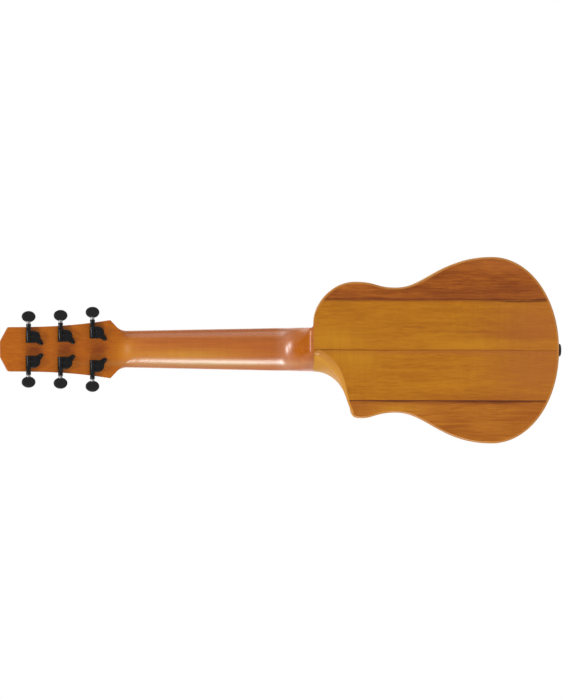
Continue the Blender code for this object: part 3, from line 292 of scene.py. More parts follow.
def inward(path):
    # unit steps to the inside of a path that runs clockwise, mitred at each corner
    run = np.diff(path, axis=0)
    run /= np.linalg.norm(run, axis=1)[:, None]
    normal = np.column_stack([run[:, 1], -run[:, 0]])
    before, after = np.vstack([normal[:1], normal]), np.vstack([normal, normal[-1:]])
    return (before + after) / (1 + (before * after).sum(axis=1))[:, None]


def inwardRound(loop):
    # the same for a path that closes on itself
    return inward(np.vstack([loop[-1:], loop, loop[:1]]))[1:-1]


def clockwise(loop):
    # the loop as it is or turned round, by the sign of the area it encloses
    loop = np.array(loop)
    area = (loop[:, 0] * np.roll(loop[:, 1], -1) - np.roll(loop[:, 0], -1) * loop[:, 1]).sum()
    return loop if area < 0 else loop[::-1]


def smooth(value, low=0.0, high=1.0):
    # 0 below low and 1 above high, with level ends
    share = np.clip((value - low) / (high - low), 0, 1)
    return share * share * (3 - 2 * share)


def lengthAlong(path):
    # the distance from a path's start to each of its points
    return np.concatenate([[0], np.cumsum(np.linalg.norm(np.diff(path, axis=0), axis=1))])


def layered(rings):
    # rows of a flat board from its rings, each a path across and along and a depth
    return np.array([np.column_stack([p[:, 0], np.full(len(p), depth), p[:, 1]]) for p, depth in rings])


def roundedRings(path, step, radius, turns):
    # rings that turn from a board's side onto its face: in by 1 - cosine and down by 1 - sine of the turn
    angles = np.radians(turns)
    return [(path + step * radius * (1 - math.cos(a)), radius * (1 - math.sin(a))) for a in angles]


# Woods: two colours, the flecks' cells per metre across and along the grain, how far the grain sways in
# metres, how strongly flecks, pores and figure show, and the lacquer's gloss
woods = {
    "boardBass": {
        "light": (0.480, 0.182, 0.0105), "dark": (0.356, 0.114, 0.0075), "across": 520, "along": 52,
        "sway": 0.004, "contrast": 0.72, "pores": 0.14, "figure": 0.14, "roughness": 0.40, "specular": 0.12,
    },
    "wingBass": {
        "light": (0.440, 0.130, 0.0160), "dark": (0.215, 0.048, 0.0070), "across": 380, "along": 34,
        "sway": 0.010, "contrast": 0.78, "pores": 0.16, "figure": 0.10, "roughness": 0.40, "specular": 0.12,
    },
    "wingTreble": {
        "light": (0.480, 0.172, 0.0190), "dark": (0.305, 0.084, 0.0085), "across": 400, "along": 30,
        "sway": 0.007, "contrast": 0.70, "pores": 0.12, "figure": 0.12, "roughness": 0.40, "specular": 0.12,
    },
    "backEdge": {
        "light": (0.520, 0.205, 0.0200), "dark": (0.390, 0.135, 0.0100), "across": 400, "along": 30,
        "sway": 0.004, "contrast": 0.50, "pores": 0.10, "figure": 0.0, "roughness": 0.30, "specular": 0.06,
        "coat": 0.18,
    },
    "ribs": {
        "light": (0.620, 0.300, 0.0300), "dark": (0.470, 0.190, 0.0150), "across": 400, "along": 24,
        "sway": 0.006, "contrast": 0.60, "pores": 0.12, "figure": 0.12, "roughness": 0.45, "specular": 0.0,
        "coat": 0.12, "followsGrain": True,
    },
    "neck": {
        "light": (0.482, 0.133, 0.0045), "dark": (0.370, 0.082, 0.0025), "across": 500, "along": 14,
        "sway": 0.003, "contrast": 0.60, "pores": 0.18, "figure": 0.08, "roughness": 0.40, "specular": 0.0,
        "coat": 0.20,
    },
    "spruce": {
        "light": (0.72, 0.48, 0.24), "dark": (0.55, 0.31, 0.12), "across": 700, "along": 2.0,
        "sway": 0.002, "contrast": 0.85, "pores": 0.0, "figure": 0.10, "roughness": 0.40, "specular": 0.20,
    },
    "darkWood": {
        "light": (0.085, 0.040, 0.020), "dark": (0.028, 0.013, 0.008), "across": 600, "along": 12,
        "sway": 0.003, "contrast": 0.80, "pores": 0.35, "figure": 0.0, "roughness": 0.42, "specular": 0.25,
    },
    "bareWood": {
        "light": (0.62, 0.41, 0.21), "dark": (0.47, 0.28, 0.12), "across": 500, "along": 12,
        "sway": 0.003, "contrast": 0.70, "pores": 0.15, "figure": 0.0, "roughness": 0.72, "specular": 0.20,
    },
}
woods["boardTreble"] = woods["boardBass"]

# What all woods share: cells per metre of each noise, the shares of flecks, streaks and clouds in the tone,
# how contrast narrows the spread between the two colours, where figure and pores begin and end, and how the
# flecks change a mark's strength, the gloss and the height
fibre = {
    "sway": (16, 16, 11), "clouds": (24, 24, 12), "waves": (22, 22, 230), "patches": (14, 14, 9),
    "pores": (2600, 2600, 120), "shares": (0.50, 0.28, 0.22), "spread": 0.30, "narrower": 0.20,
    "fleckNoise": (4.0, 0.62, 0.5), "streakWider": 4, "streakLonger": 7,
    "figureEdge": (0.42, 0.62), "poreEdge": (0.60, 0.72), "poreDepth": 0.6, "shadow": 0.7,
    "markSlope": 1.2, "markBase": 0.4, "gloss": 0.10, "height": 0.00005, "bump": 0.5,
}
# Tones that the boards, the neck and the head carry in places; on the neck, the head and the scoop's edge
# some are painted light and shade
tones = {
    "line": (0.080, 0.017, 0.007), "brown": (0.200, 0.046, 0.010), "red": (0.310, 0.082, 0.011),
    "orange": (0.375, 0.112, 0.024), "gold": (0.580, 0.255, 0.016), "tan": (0.490, 0.310, 0.110),
    "paintedShadeBetweenTuners": (0.190, 0.030, 0.001),
}


def woodMaterial(name, look, marks):
    # flecks and long streaks are noise drawn out along a grain that sways, pores are a finer one cut at a
    # threshold, the figure crosses the grain faintly, and each mark is a soft oval of another tone
    material, tree, shader = newMaterial(
        name, look["roughness"], specular=look["specular"], coat=look.get("coat", 0.0)
    )
    place = grainPlace(tree) if look.get("followsGrain") else objectPlace(tree)
    axes = splitAxes(tree, place)
    bend = calc(tree, "SUBTRACT", noise(tree, place, fibre["sway"], 2.0), 0.5)
    swayed = calc(tree, "ADD", axes["X"], calc(tree, "MULTIPLY", bend, look["sway"]))
    grained = addNode(tree, "ShaderNodeCombineXYZ", {"X": swayed, "Y": axes["Y"], "Z": axes["Z"]}).outputs[0]
    across, along = look["across"], look["along"]
    flecks = noise(tree, grained, (across, across, along), *fibre["fleckNoise"])
    across, along = across / fibre["streakWider"], along / fibre["streakLonger"]
    streaks = noise(tree, grained, (across, across, along), 3.0)
    clouds = noise(tree, place, fibre["clouds"], 2.0)
    value = 0.0
    for layer, share in zip((flecks, streaks, clouds), fibre["shares"]):
        value = calc(tree, "ADD", value, calc(tree, "MULTIPLY", layer, share))
    spread = fibre["spread"] - fibre["narrower"] * look["contrast"]
    share = ramp(tree, value, 0.5 - spread, 0.5 + spread)
    colour = blendColours(tree, share, rgba(look["light"]), rgba(look["dark"]))
    uneven = calc(tree, "ADD", calc(tree, "MULTIPLY", flecks, fibre["markSlope"]), fibre["markBase"])
    for tone, x, z, acrossReach, alongReach, strength in marks:
        sideways = calc(tree, "DIVIDE", calc(tree, "SUBTRACT", swayed, x), acrossReach)
        lengthways = calc(tree, "DIVIDE", calc(tree, "SUBTRACT", axes["Z"], z), alongReach)
        far = calc(tree, "ADD", calc(tree, "POWER", sideways, 2.0), calc(tree, "POWER", lengthways, 2.0))
        amount = calc(tree, "MULTIPLY", calc(tree, "EXPONENT", calc(tree, "MULTIPLY", far, -1.0)), strength)
        share = calc(tree, "MULTIPLY", amount, uneven, True)
        colour = blendColours(tree, share, colour, rgba(tones[tone]))
    height = flecks
    shadow = rgba(np.array(look["dark"]) * fibre["shadow"])
    if look["figure"]:
        waves = ramp(tree, noise(tree, place, fibre["waves"], 2.0), *fibre["figureEdge"])
        patches = ramp(tree, noise(tree, place, fibre["patches"], 1.0), *fibre["figureEdge"])
        amount = calc(tree, "MULTIPLY", calc(tree, "MULTIPLY", waves, patches), look["figure"])
        colour = blendColours(tree, amount, colour, shadow)
    if look["pores"]:
        dots = ramp(tree, noise(tree, grained, fibre["pores"], 1.0), *fibre["poreEdge"])
        colour = blendColours(tree, calc(tree, "MULTIPLY", dots, look["pores"]), colour, shadow)
        height = calc(tree, "SUBTRACT", flecks, calc(tree, "MULTIPLY", dots, fibre["poreDepth"]))
    tree.links.new(colour, shader.inputs["Base Color"])
    glossShare = calc(tree, "MULTIPLY", calc(tree, "SUBTRACT", flecks, 0.5), fibre["gloss"])
    tree.links.new(calc(tree, "ADD", glossShare, look["roughness"]), shader.inputs["Roughness"])
    bumpOn(tree, shader, height, fibre["height"], fibre["bump"])
    return material


# Marks on the woods: a tone, its middle across and along, its reach across and along, and its strength
everywhere = 9.0
seam = 0.0624
centreLine = ("brown", 0.0, 0.0, 0.0006, everywhere, 0.60)
marks = {
    "boardBass": [
        ("brown", -0.0282, -0.370, 0.0013, 0.030, 0.30), ("brown", -0.0234, -0.440, 0.0016, 0.050, 0.45),
        ("brown", -0.0165, -0.505, 0.0022, 0.040, 0.35), ("red", -0.0220, -0.500, 0.0080, 0.050, 0.50),
        ("orange", -0.0300, -0.515, 0.0400, 0.055, 0.62), ("gold", -0.0120, -0.265, 0.0140, 0.035, 0.55),
        ("gold", -0.0060, -0.430, 0.0100, 0.060, 0.35), ("line", -seam + 0.0008, -0.505, 0.0013, 0.055, 0.85),
        ("brown", -seam + 0.0007, -0.340, 0.0011, 0.130, 0.75), centreLine,
    ],
    "boardTreble": [
        ("orange", 0.0025, -0.450, 0.0030, 0.180, 0.55), ("red", 0.0600, -0.470, 0.0060, 0.090, 0.55),
        ("gold", 0.0100, -0.285, 0.0160, 0.040, 0.45), ("orange", 0.0200, -0.515, 0.0500, 0.060, 0.64),
        centreLine,
    ],
    "wingBass": [
        ("brown", -0.0755, -0.505, 0.0100, 0.070, 0.60), ("brown", -0.0700, -0.415, 0.0055, 0.055, 0.50),
        ("brown", -0.0690, -0.265, 0.0050, 0.035, 0.40), ("orange", -0.1090, -0.480, 0.0120, 0.060, 0.55),
        ("brown", -seam - 0.0004, -0.420, 0.0022, 0.160, 0.80),
        ("line", -seam - 0.0008, -0.505, 0.0014, 0.050, 0.95),
        ("line", -seam - 0.0006, -0.330, 0.0010, 0.110, 0.50),
    ],
    "wingTreble": [
        ("red", 0.0750, -0.285, 0.0120, 0.030, 0.60), ("red", 0.0790, -0.510, 0.0140, 0.028, 0.60),
        ("gold", 0.0730, -0.345, 0.0060, 0.025, 0.40), ("brown", 0.0640, -0.440, 0.0040, 0.130, 0.65),
        ("line", seam + 0.0004, -0.400, 0.0014, everywhere, 0.85),
        ("line", seam + 0.0007, -0.475, 0.0021, 0.060, 0.85),
        ("line", seam + 0.0007, -0.335, 0.0017, 0.025, 0.60),
    ],
    # painted sheen: a gold oval lightens the rounded edge at the scoop, where lamp light reflects along the
    # back's edge
    "backEdge": [("gold", 0.0450, -0.262, 0.0350, 0.045, 0.80)],
    "neck": [
        # painted sheen: the first gold oval lies on the neck's treble side beside the highlight band, where
        # lamp light reflects
        ("gold", 0.0080, -0.075, 0.0080, 0.070, 0.65), ("gold", 0.0, -0.004, 0.0140, 0.014, 0.30),
        # painted light: the tan oval lightens the neck's treble flank, where the treble lamp falls on it
        ("tan", 0.0178, -0.108, 0.0034, 0.100, 0.75), ("paintedShadeBetweenTuners", 0.0, 0.0320, 0.0105, 0.0125, 0.74),
        # painted shade: paintedShadeBetweenTuners, at the end of the line above and on this one, darkens the
        # head between each pair of tuner housings
        ("paintedShadeBetweenTuners", 0.0, 0.0715, 0.0105, 0.0125, 0.74), ("paintedShadeBetweenTuners", 0.0, 0.1100, 0.0105, 0.0125, 0.74),
    ],
}
finishes = {name: woodMaterial(name, look, marks.get(name, ())) for name, look in woods.items()}

# The neck's lacquer shines more along the shaft than on the head, and most along its treble flank and where
# the heel begins. Each fades in between two places, across on the flank and along on the others
neckGloss = {
    "head": 0.10, "shaft": 0.22, "from": -0.020, "to": 0.012, "flank": 0.20, "flankFrom": 0.006,
    "flankTo": 0.017, "heel": 0.30, "heelFrom": -0.221, "heelTo": -0.206, "shaftEnd": -0.188,
    "roughness": 0.31,
}
tree = finishes["neck"].node_tree
spot = splitAxes(tree, objectPlace(tree))
onShaft = calc(tree, "SUBTRACT", 1.0, ramp(tree, spot["Z"], neckGloss["from"], neckGloss["to"]))
flank = ramp(tree, spot["X"], neckGloss["flankFrom"], neckGloss["flankTo"])
flank = calc(tree, "MULTIPLY", flank, neckGloss["flank"])
extra = calc(tree, "MULTIPLY", onShaft, calc(tree, "ADD", flank, neckGloss["shaft"] - neckGloss["head"]))
heelRise = ramp(tree, spot["Z"], neckGloss["heelFrom"], neckGloss["heelTo"])
heelFall = calc(tree, "SUBTRACT", 1.0, ramp(tree, spot["Z"], neckGloss["heelTo"], neckGloss["shaftEnd"]))
onHeel = calc(tree, "MULTIPLY", calc(tree, "MULTIPLY", heelRise, heelFall), neckGloss["heel"])
gloss = calc(tree, "ADD", calc(tree, "ADD", extra, onHeel), neckGloss["head"])
tree.links.new(gloss, tree.nodes["Principled BSDF"].inputs["Coat Weight"])
tree.nodes["Principled BSDF"].inputs["Coat Roughness"].default_value = neckGloss["roughness"]

# Metals, plastics and the rest: colour, roughness, the fine grain's height and its cells per metre, and for a
# metal how metallic it is
smoothLooks = {
    "blackMetal": {"colour": (0.0035, 0.0035, 0.0038), "roughness": 0.24, "bump": 0.00002, "cells": 2500},
    "blackPlastic": {"colour": (0.0075, 0.0075, 0.0075), "roughness": 0.40, "bump": 0.00004, "cells": 2200},
    "steel": {
        "colour": (0.21, 0.21, 0.215), "roughness": 0.34, "metallic": 1.0, "bump": 0.00001, "cells": 3000,
    },
    "bone": {"colour": (0.80, 0.75, 0.60), "roughness": 0.38, "bump": 0.00002, "cells": 900},
    "nylon": {"colour": (0.78, 0.76, 0.70), "roughness": 0.22, "bump": 0.00001, "cells": 1500},
    "felt": {"colour": (0.030, 0.030, 0.030), "roughness": 0.95, "bump": 0.00012, "cells": 6000},
}
clouded = {"cells": 260, "edge": (0.35, 0.75), "lighter": 1.3, "gloss": 0.15, "specular": 0.15, "bump": 0.8}


def smoothMaterial(name, look):
    # one colour that a slow noise lightens and darkens a little, over a fine bump
    metallic = look.get("metallic", 0.0)
    material, tree, shader = newMaterial(name, look["roughness"], metallic, specular=clouded["specular"])
    place = objectPlace(tree)
    slow = noise(tree, place, (clouded["cells"],) * 3, 3.0)
    fine = noise(tree, place, (look["cells"],) * 3, 2.0)
    lighter = np.clip(np.array(look["colour"]) * clouded["lighter"], 0, 1)
    colour = blendColours(tree, ramp(tree, slow, *clouded["edge"]), rgba(look["colour"]), rgba(lighter))
    tree.links.new(colour, shader.inputs["Base Color"])
    rough = calc(tree, "MULTIPLY", calc(tree, "SUBTRACT", slow, 0.5), clouded["gloss"])
    tree.links.new(calc(tree, "ADD", rough, look["roughness"]), shader.inputs["Roughness"])
    bumpOn(tree, shader, fine, look["bump"], clouded["bump"])
    return material


for name, look in smoothLooks.items():
    finishes[name] = smoothMaterial(name, look)


def ringed(name, look, length):
    # light and dark rings of one pitch along a length, which length(tree) reads from the surface
    material, tree, shader = newMaterial(name, look["roughness"], look["metallic"])
    turns = calc(tree, "SINE", calc(tree, "MULTIPLY", length(tree), 2 * math.pi / look["pitch"]))
    share = ramp(tree, turns, *look["edge"])
    colour = blendColours(tree, share, rgba(look["dark"]), rgba(look["light"]))
    tree.links.new(colour, shader.inputs["Base Color"])
    finishes[name] = material
    return tree, shader, turns


# Wound strings: fine rings along the string, read from the grain's length in metres
woundLook = {
    "light": (0.66, 0.63, 0.56), "dark": (0.24, 0.21, 0.17), "pitch": 0.00028, "roughness": 0.30,
    "metallic": 0.9, "edge": (-1.0, 0.2), "bump": 0.00006,
}
tree, shader, turns = ringed("wound", woundLook, lambda tree: splitAxes(tree, grainPlace(tree))["Z"])
bumpOn(tree, shader, calc(tree, "MULTIPLY", calc(tree, "ADD", turns, 1.0), 0.5), woundLook["bump"])
print("stage: materials")

# Body shape, as the frame has it: distances across and down from the neck's joint, in metres. A sweep is how
# far a curve's handle reaches
scaleLength = 0.432


def fretPlace(number):
    # each fret leaves the string's length shorter by the twelfth root of two
    return -scaleLength * (1 - 2 ** (-number / 12))


body = {
    "joint": fretPlace(14), "length": 0.3055, "depthNeck": 0.062, "depthTail": 0.070,
    "shoulder": 0.0353, "shoulderSweep": 0.0213, "upper": (0.0853, 0.0514), "upperSweeps": (0.0303, 0.0268),
    "waist": (0.0781, 0.1018), "waistSweeps": (0.0249, 0.0387), "lower": (0.1163, 0.2216),
    "lowerSweeps": (0.0636, 0.0460), "tailSweep": 0.0673, "horn": (0.0769, 0.0470),
    "hornAngle": math.radians(12), "hornSweeps": (0.0455, 0.0047), "cutSweep": 0.0115,
    "hornSide": (0.0853, 0.0600), "hornSideSweeps": (0.0126, 0.0130), "hornWaistSweep": 0.0218,
    "scoopStart": 0.004, "scoopSweep": 0.0400, "scoopAngle": math.radians(27), "scoopHornSweep": 0.0300,
    "scoopHornAngle": math.radians(25), "scoopPower": 1.8, "top": 0.0023, "back": 0.0026, "rib": 0.0020,
    "ribGrain": 0.3,
}
jointZ, tailZ = body["joint"], body["joint"] - body["length"]


def backY(z):
    # the back's depth, straight from the neck's end to the tail
    return body["depthNeck"] + (body["depthTail"] - body["depthNeck"]) * (jointZ - z) / body["length"]


def bodyPoint(name):
    # a named point of the outline, as (across, height)
    across, down = body[name]
    return across, jointZ - down


def falling(start, leaving, arriving, end, steps):
    # a curve down the side whose handles run straight along the body
    return curve(start, (start[0], start[1] - leaving), (end[0], end[1] + arriving), end, steps)


def lowerBouts():
    # from the waist round the lower bout to the middle of the tail
    lower, (arriving, leaving) = bodyPoint("lower"), body["lowerSweeps"]
    return np.vstack([
        falling(bodyPoint("waist"), body["waistSweeps"][1], arriving, lower, 48),
        curve(lower, (lower[0], lower[1] - leaving), (body["tailSweep"], tailZ), (0, tailZ), 64),
    ])


def plainPath():
    # the bass side's outline on the positive side: shoulder, upper bout, waist, lower bout, tail
    shoulder, upper, (arriving, leaving) = (body["shoulder"], jointZ), bodyPoint("upper"), body["upperSweeps"]
    level = (shoulder[0] + body["shoulderSweep"], jointZ)
    return np.vstack([
        [(0, jointZ), shoulder],
        curve(shoulder, level, (upper[0], upper[1] + arriving), upper, 40),
        falling(upper, leaving, body["waistSweeps"][0], bodyPoint("waist"), 32),
        lowerBouts(),
    ])


def cutawayPath(atBack):
    # the treble side's outline: the cutaway's curve, the horn and the bouts
    if atBack:
        corner = (body["scoopStart"], jointZ)
        sweep, angle = body["scoopSweep"], body["scoopAngle"]
        leaving = (corner[0] + sweep * math.sin(angle), jointZ - sweep * math.cos(angle))
        reach, slope = body["scoopHornSweep"], body["scoopHornAngle"]
    else:
        corner = (neck["halfJoint"], jointZ)
        leaving = (corner[0], jointZ - body["cutSweep"])
        reach, slope = body["hornSweeps"][0], body["hornAngle"]
    horn, side = bodyPoint("horn"), bodyPoint("hornSide")
    arriving = (horn[0] - reach * math.cos(slope), horn[1] + reach * math.sin(slope))
    past = body["hornSweeps"][1]
    past = (horn[0] + past * math.cos(body["hornAngle"]), horn[1] - past * math.sin(body["hornAngle"]))
    return np.vstack([
        [(0, jointZ), corner],
        curve(corner, leaving, arriving, horn, 60),
        curve(horn, past, (side[0], side[1] + body["hornSideSweeps"][0]), side, 24),
        falling(side, body["hornSideSweeps"][1], body["hornWaistSweep"], bodyPoint("waist"), 24),
        lowerBouts(),
    ])


def scoopShare(level):
    # how far the wall has gone from the soundboard's outline to the back's
    return level ** body["scoopPower"]


# Ribs: the wall between the soundboard's outline and the back's, carried along the path with its grain
def ribShell(front, back, levels, side):
    # rows are levels from front to back on the outer face, then back to front on the inner one
    level = np.linspace(0, 1, levels)[:, None]
    rows = []
    for inset in (0, body["rib"]):
        frontPath, backPath = front + inset * inward(front), back + inset * inward(back)
        path = frontPath[None] + (backPath - frontPath)[None] * scoopShare(level)[..., None]
        top, floor = body["top"], backY(path[..., 1]) - body["back"]
        rows.append(np.stack([side * path[..., 0], top + (floor - top) * level, path[..., 1]], axis=-1))
    rows = np.vstack([rows[0], rows[1][::-1]])
    run = np.broadcast_to(lengthAlong(back), rows.shape[:2])
    grain = np.stack([rows[..., 1], 0 * rows[..., 1] + side * body["ribGrain"], run], axis=-1)
    shell = grid(rows, wrapRows=True, wrapColumns=False, grain=grain)
    first = np.arange(rows.shape[0]) * rows.shape[1]
    shell["caps"] = [first, (first + rows.shape[1] - 1)[::-1]]
    return shell


neck = {
    "halfNut": 0.0233, "halfJoint": 0.0280, "depthNut": 0.0192, "depthHeel": 0.0210, "power": 2.3,
    "heelTop": 0.0405, "heelCap": 0.0056, "heelPower": 2.0, "heelCorner": 14, "heelRounder": 0.10,
    "rounderPast": 0.03, "heelSquare": 3, "flare": 0.0080, "flarePower": 6, "edge": 0.0030,
    "boardEnd": fretPlace(18) - 0.0095, "shaftTop": -0.016, "columns": 103, "rows": (14, 44, 40),
}
plain = plainPath()
treble = ribShell(cutawayPath(False), cutawayPath(True), 40, 1)
makePiece("sideTreble", [treble], ["ribs"], "side_treble")
makePiece("sideBass", [ribShell(plain, plain, 6, -1)], ["ribs"], "side_bass")


# Back: four boards, each a loop of the outline cut at its seams, with a rounded outer edge
def splitAt(path, limit):
    # cuts a path in two where it first crosses the limit, with the crossing point in both
    index = int(np.argmax((path[:, 0] > limit) != (path[0, 0] > limit)))
    share = (limit - path[index - 1, 0]) / (path[index, 0] - path[index - 1, 0])
    crossing = path[index - 1] + share * (path[index] - path[index - 1])
    return np.vstack([path[:index], crossing]), np.vstack([crossing, path[index:]])


# The boards' outer edge: its radius, small at the neck's joint, its extra width and lean at the scoop, where
# these fade out, the steps of its turn, and how far a step has to point along the seam
boardEdge = {
    "radius": 0.0026, "least": 0.00015, "fade": 0.006, "extra": 0.0050, "lean": math.radians(20), "steps": 9,
    "scoopFrom": 0.001, "hornInset": 0.004, "hornFade": 0.06, "endFade": (-0.0005, 0.002), "level": 0.0005,
    "alongSeam": 0.2,
}


def steppedArc(path):
    # inward steps whose first and last run along the seam, so that a board's corners stay on it
    step = inward(path)
    for end in (0, -1):
        step[end] = (0, 1 / step[end, 1] if abs(step[end, 1]) > boardEdge["alongSeam"] else 0)
    return path, step


def boardShell(arcs, side, atScoop=False):
    # rings step in over a quarter turn, wider at the scoop, and the faces of the turn take the edge's finish
    path, step = (np.vstack(parts) for parts in zip(*arcs))
    across, fromJoint, least = path[:, 0], jointZ - path[:, 1], boardEdge["least"]
    radius = (boardEdge["radius"] - least) * smooth(fromJoint, 0, boardEdge["fade"]) + least
    scooped = smooth(across, boardEdge["scoopFrom"], body["scoopStart"])
    scooped *= smooth(body["horn"][0] - boardEdge["hornInset"] - across, 0, boardEdge["hornFade"])
    scooped *= path[:, 1] > jointZ - body["horn"][1]
    extra = boardEdge["extra"] * scooped * smooth(fromJoint, *boardEdge["endFade"])
    wide = radius + (extra if atScoop else 0)
    rings = [(path, np.full(len(path), body["back"]))]
    first = boardEdge["lean"] * scooped * (wide > radius)
    for part in np.linspace(0, 1, boardEdge["steps"]):
        turn = first + (math.pi / 2 - first) * part
        moved = path + step * (wide * (1 - np.cos(turn) / np.cos(first)))[:, None]
        rings.append((moved, radius * (1 - np.sin(turn)) / (1 - np.sin(first))))
    rings.append((path + step * (wide + boardEdge["level"])[:, None], np.zeros(len(path))))
    rows = np.array([np.column_stack([side * p[:, 0], backY(p[:, 1]) - drop, p[:, 1]]) for p, drop in rings])
    shell = grid(rows, caps="both")
    shell["paint"] = np.zeros(len(shell["cells"]) + len(shell["caps"]), dtype=int)
    shell["paint"][len(path):boardEdge["steps"] * len(path)] = 1
    return shell


for side, path, word in ((1, cutawayPath(True), "Treble"), (-1, plain, "Bass")):
    upper, rest = splitAt(path, seam)
    tail, middle = splitAt(rest[::-1], seam)
    inner = boardShell([steppedArc(upper), steppedArc(tail[::-1])], side, word == "Treble")
    wing = boardShell([steppedArc(middle[::-1])], side)
    lower = word.lower()
    makePiece("backBoard" + word, [inner], ["board" + word, "backEdge"], "back_board_" + lower)
    makePiece("backWing" + word, [wing], ["wing" + word, "backEdge"], "back_wing_" + lower)
print("stage: ribs and back")

# Soundboard: rows from the sound hole out to the outline, along rays from the hole's centre
top = {
    "hole": 0.037, "holeDrop": 0.0945, "holeRound": 0.0005, "lip": 0.0008, "round": 0.0016, "level": 0.0005,
}
hole = np.array([0, jointZ - top["holeDrop"]])
whole = np.vstack([cutawayPath(False), (plain * (-1, 1))[-2:0:-1]])
step = inwardRound(whole)
ray = (whole - hole) / np.linalg.norm(whole - hole, axis=1)[:, None]
holeEdge = hole + ray * top["hole"]
rings = [(holeEdge, body["top"])] + roundedRings(holeEdge, ray, top["holeRound"], [0, 30, 60, 90])
rings += [(holeEdge + ray * top["lip"], 0), (whole + step * (top["round"] + top["level"]), 0)]
rings += roundedRings(whole, step, top["round"], np.linspace(90, 0, 7)) + [(whole, body["top"])]
makePiece("soundboardTop", [grid(layered(rings), wrapRows=True)], ["spruce"], "soundboard")

# Rosette: rings of light and dark wood by the distance from the hole's centre, on a section (inset, depth)
# that is the same at its inner and its outer edge
rosette = {
    "light": (0.46, 0.25, 0.09), "dark": (0.035, 0.016, 0.010), "pitch": 0.0017, "roughness": 0.35,
    "metallic": 0.0, "edge": (-0.2, 0.2), "cells": 900, "bump": 0.00003, "inner": 0.0405, "outer": 0.0490,
    "sides": 160,
    "section": ((0, 0.0008), (0, -0.00002), (0.0001, -0.00006)),
}


def fromHole(tree):
    # the distance from the sound hole's centre
    values = {"Vector": objectPlace(tree), "Location": (0, 0, -hole[1]), "Scale": (1, 0, 1)}
    centred = addNode(tree, "ShaderNodeMapping", values).outputs[0]
    return addNode(tree, "ShaderNodeVectorMath", {0: centred}, operation="LENGTH").outputs["Value"]


tree, shader, turns = ringed("rosette", rosette, fromHole)
bumpOn(tree, shader, noise(tree, objectPlace(tree), (rosette["cells"],) * 3), rosette["bump"])
angle = np.linspace(0, 2 * math.pi, rosette["sides"], endpoint=False)
circle = np.column_stack([np.cos(angle), np.sin(angle)])
rings = [(hole + (rosette["inner"] + inset) * circle, depth) for inset, depth in rosette["section"]]
rings += [(hole + (rosette["outer"] - inset) * circle, depth) for inset, depth in rosette["section"][::-1]]
makePiece("rosetteRings", [grid(layered(rings), wrapRows=True)], ["rosette"], "rosette")

# Head: its outline as (half width, distance up the head), and how the neck's section turns into the head's
head = {
    "tilt": math.radians(13), "start": 0.0053, "thickness": 0.0150, "length": 0.1542, "tip": 0.0096,
    "corner": (0.0279, 0.1434), "cornerCut": (0.0009, 0.0015), "shoulder": (0.0368, 0.0156),
    "flareStart": 0.0080, "flareReach": (0.0047, 0.0085), "sideLeaving": (0.685, 0.30), "sideArriving": 0.55,
    "veneer": 0.0015, "veneerFoot": 0.0004, "veneerRound": 0.0004, "edge": 0.0012, "blend": (-0.018, 0.012),
    "below": (-0.0205, -0.0085), "sides": (0.0162, 0.1432), "aboutCorner": [0.1434, 0.1441, 0.1449],
    "endFrom": 0.1460,
}
# Steps round a section, from the bass edge of the front over the back to its treble edge, and how the heel's
# points lie on its side and its corner
around = {
    "whole": 17, "side": 4, "flat": 3, "heelCorner": 7, "heelCap": 9, "levels": [0, 0.3, 0.6, 0.85, 1],
    "turns": [0, 0.6, 1.1, math.pi / 2],
}


def neckHalf(z):
    # the neck's half width, straight from the nut to the joint
    return neck["halfNut"] + (neck["halfJoint"] - neck["halfNut"]) * z / jointZ


def headSide():
    # the head's half outline as (half width, distance up the head): flare, drawn-in sides, blunt tip
    shoulder, corner, half = head["shoulder"], head["corner"], neck["halfNut"]
    reach, start = corner[1] - shoulder[1], (half, -head["flareStart"])
    (inwards, up), flare, cut = head["sideLeaving"], head["flareReach"], head["cornerCut"]
    leaving = (shoulder[0] - inwards * (shoulder[0] - corner[0]), shoulder[1] + up * reach)
    arriving = (corner[0], shoulder[1] + head["sideArriving"] * reach)
    return np.vstack([
        [start],
        curve(start, (half, 0), (half + flare[0], flare[1]), shoulder, 24),
        curve(shoulder, leaving, arriving, corner, 40),
        [(corner[0] - cut[0], corner[1] + cut[1]), (head["tip"], head["length"])],
    ])


def headPlace(points):
    # from the head's own axes (across, depth, along) to the instrument's
    x, n, s = points[..., 0], points[..., 1], points[..., 2]
    c, t = math.cos(head["tilt"]), math.sin(head["tilt"])
    return np.stack([x, n * c + s * t, head["start"] - n * t + s * c], axis=-1)


def roundSection(t, fullness):
    # a half oval, flat in front: t runs from the bass edge round the back to the treble edge
    power = 2 / fullness
    cosine, sine = np.cos(math.pi * t), np.sin(math.pi * t)
    return -np.sign(cosine) * np.abs(cosine) ** power, np.abs(sine) ** power


def squareSection(t, half, depth, edge):
    # the head's section: straight sides, corners of a small radius, and a flat back that reaches out to the
    # full width at its last step
    whole, side, flat = around["whole"], around["side"], around["flat"]
    place = t * whole
    fromFront, fromMiddle = np.minimum(place, whole - place), np.abs(place - whole / 2)
    turn = np.clip((fromFront - side) / (whole / 2 - flat - side), 0, 1) * math.pi / 2
    x = half - edge + edge * np.cos(turn)
    x = np.select([fromMiddle < flat, fromMiddle == flat], [fromMiddle / flat * (half - edge), half], x)
    y = np.where(fromFront > side, depth - edge + edge * np.sin(turn), fromFront / side * (depth - edge))
    return np.sign(place - whole / 2) * x, y


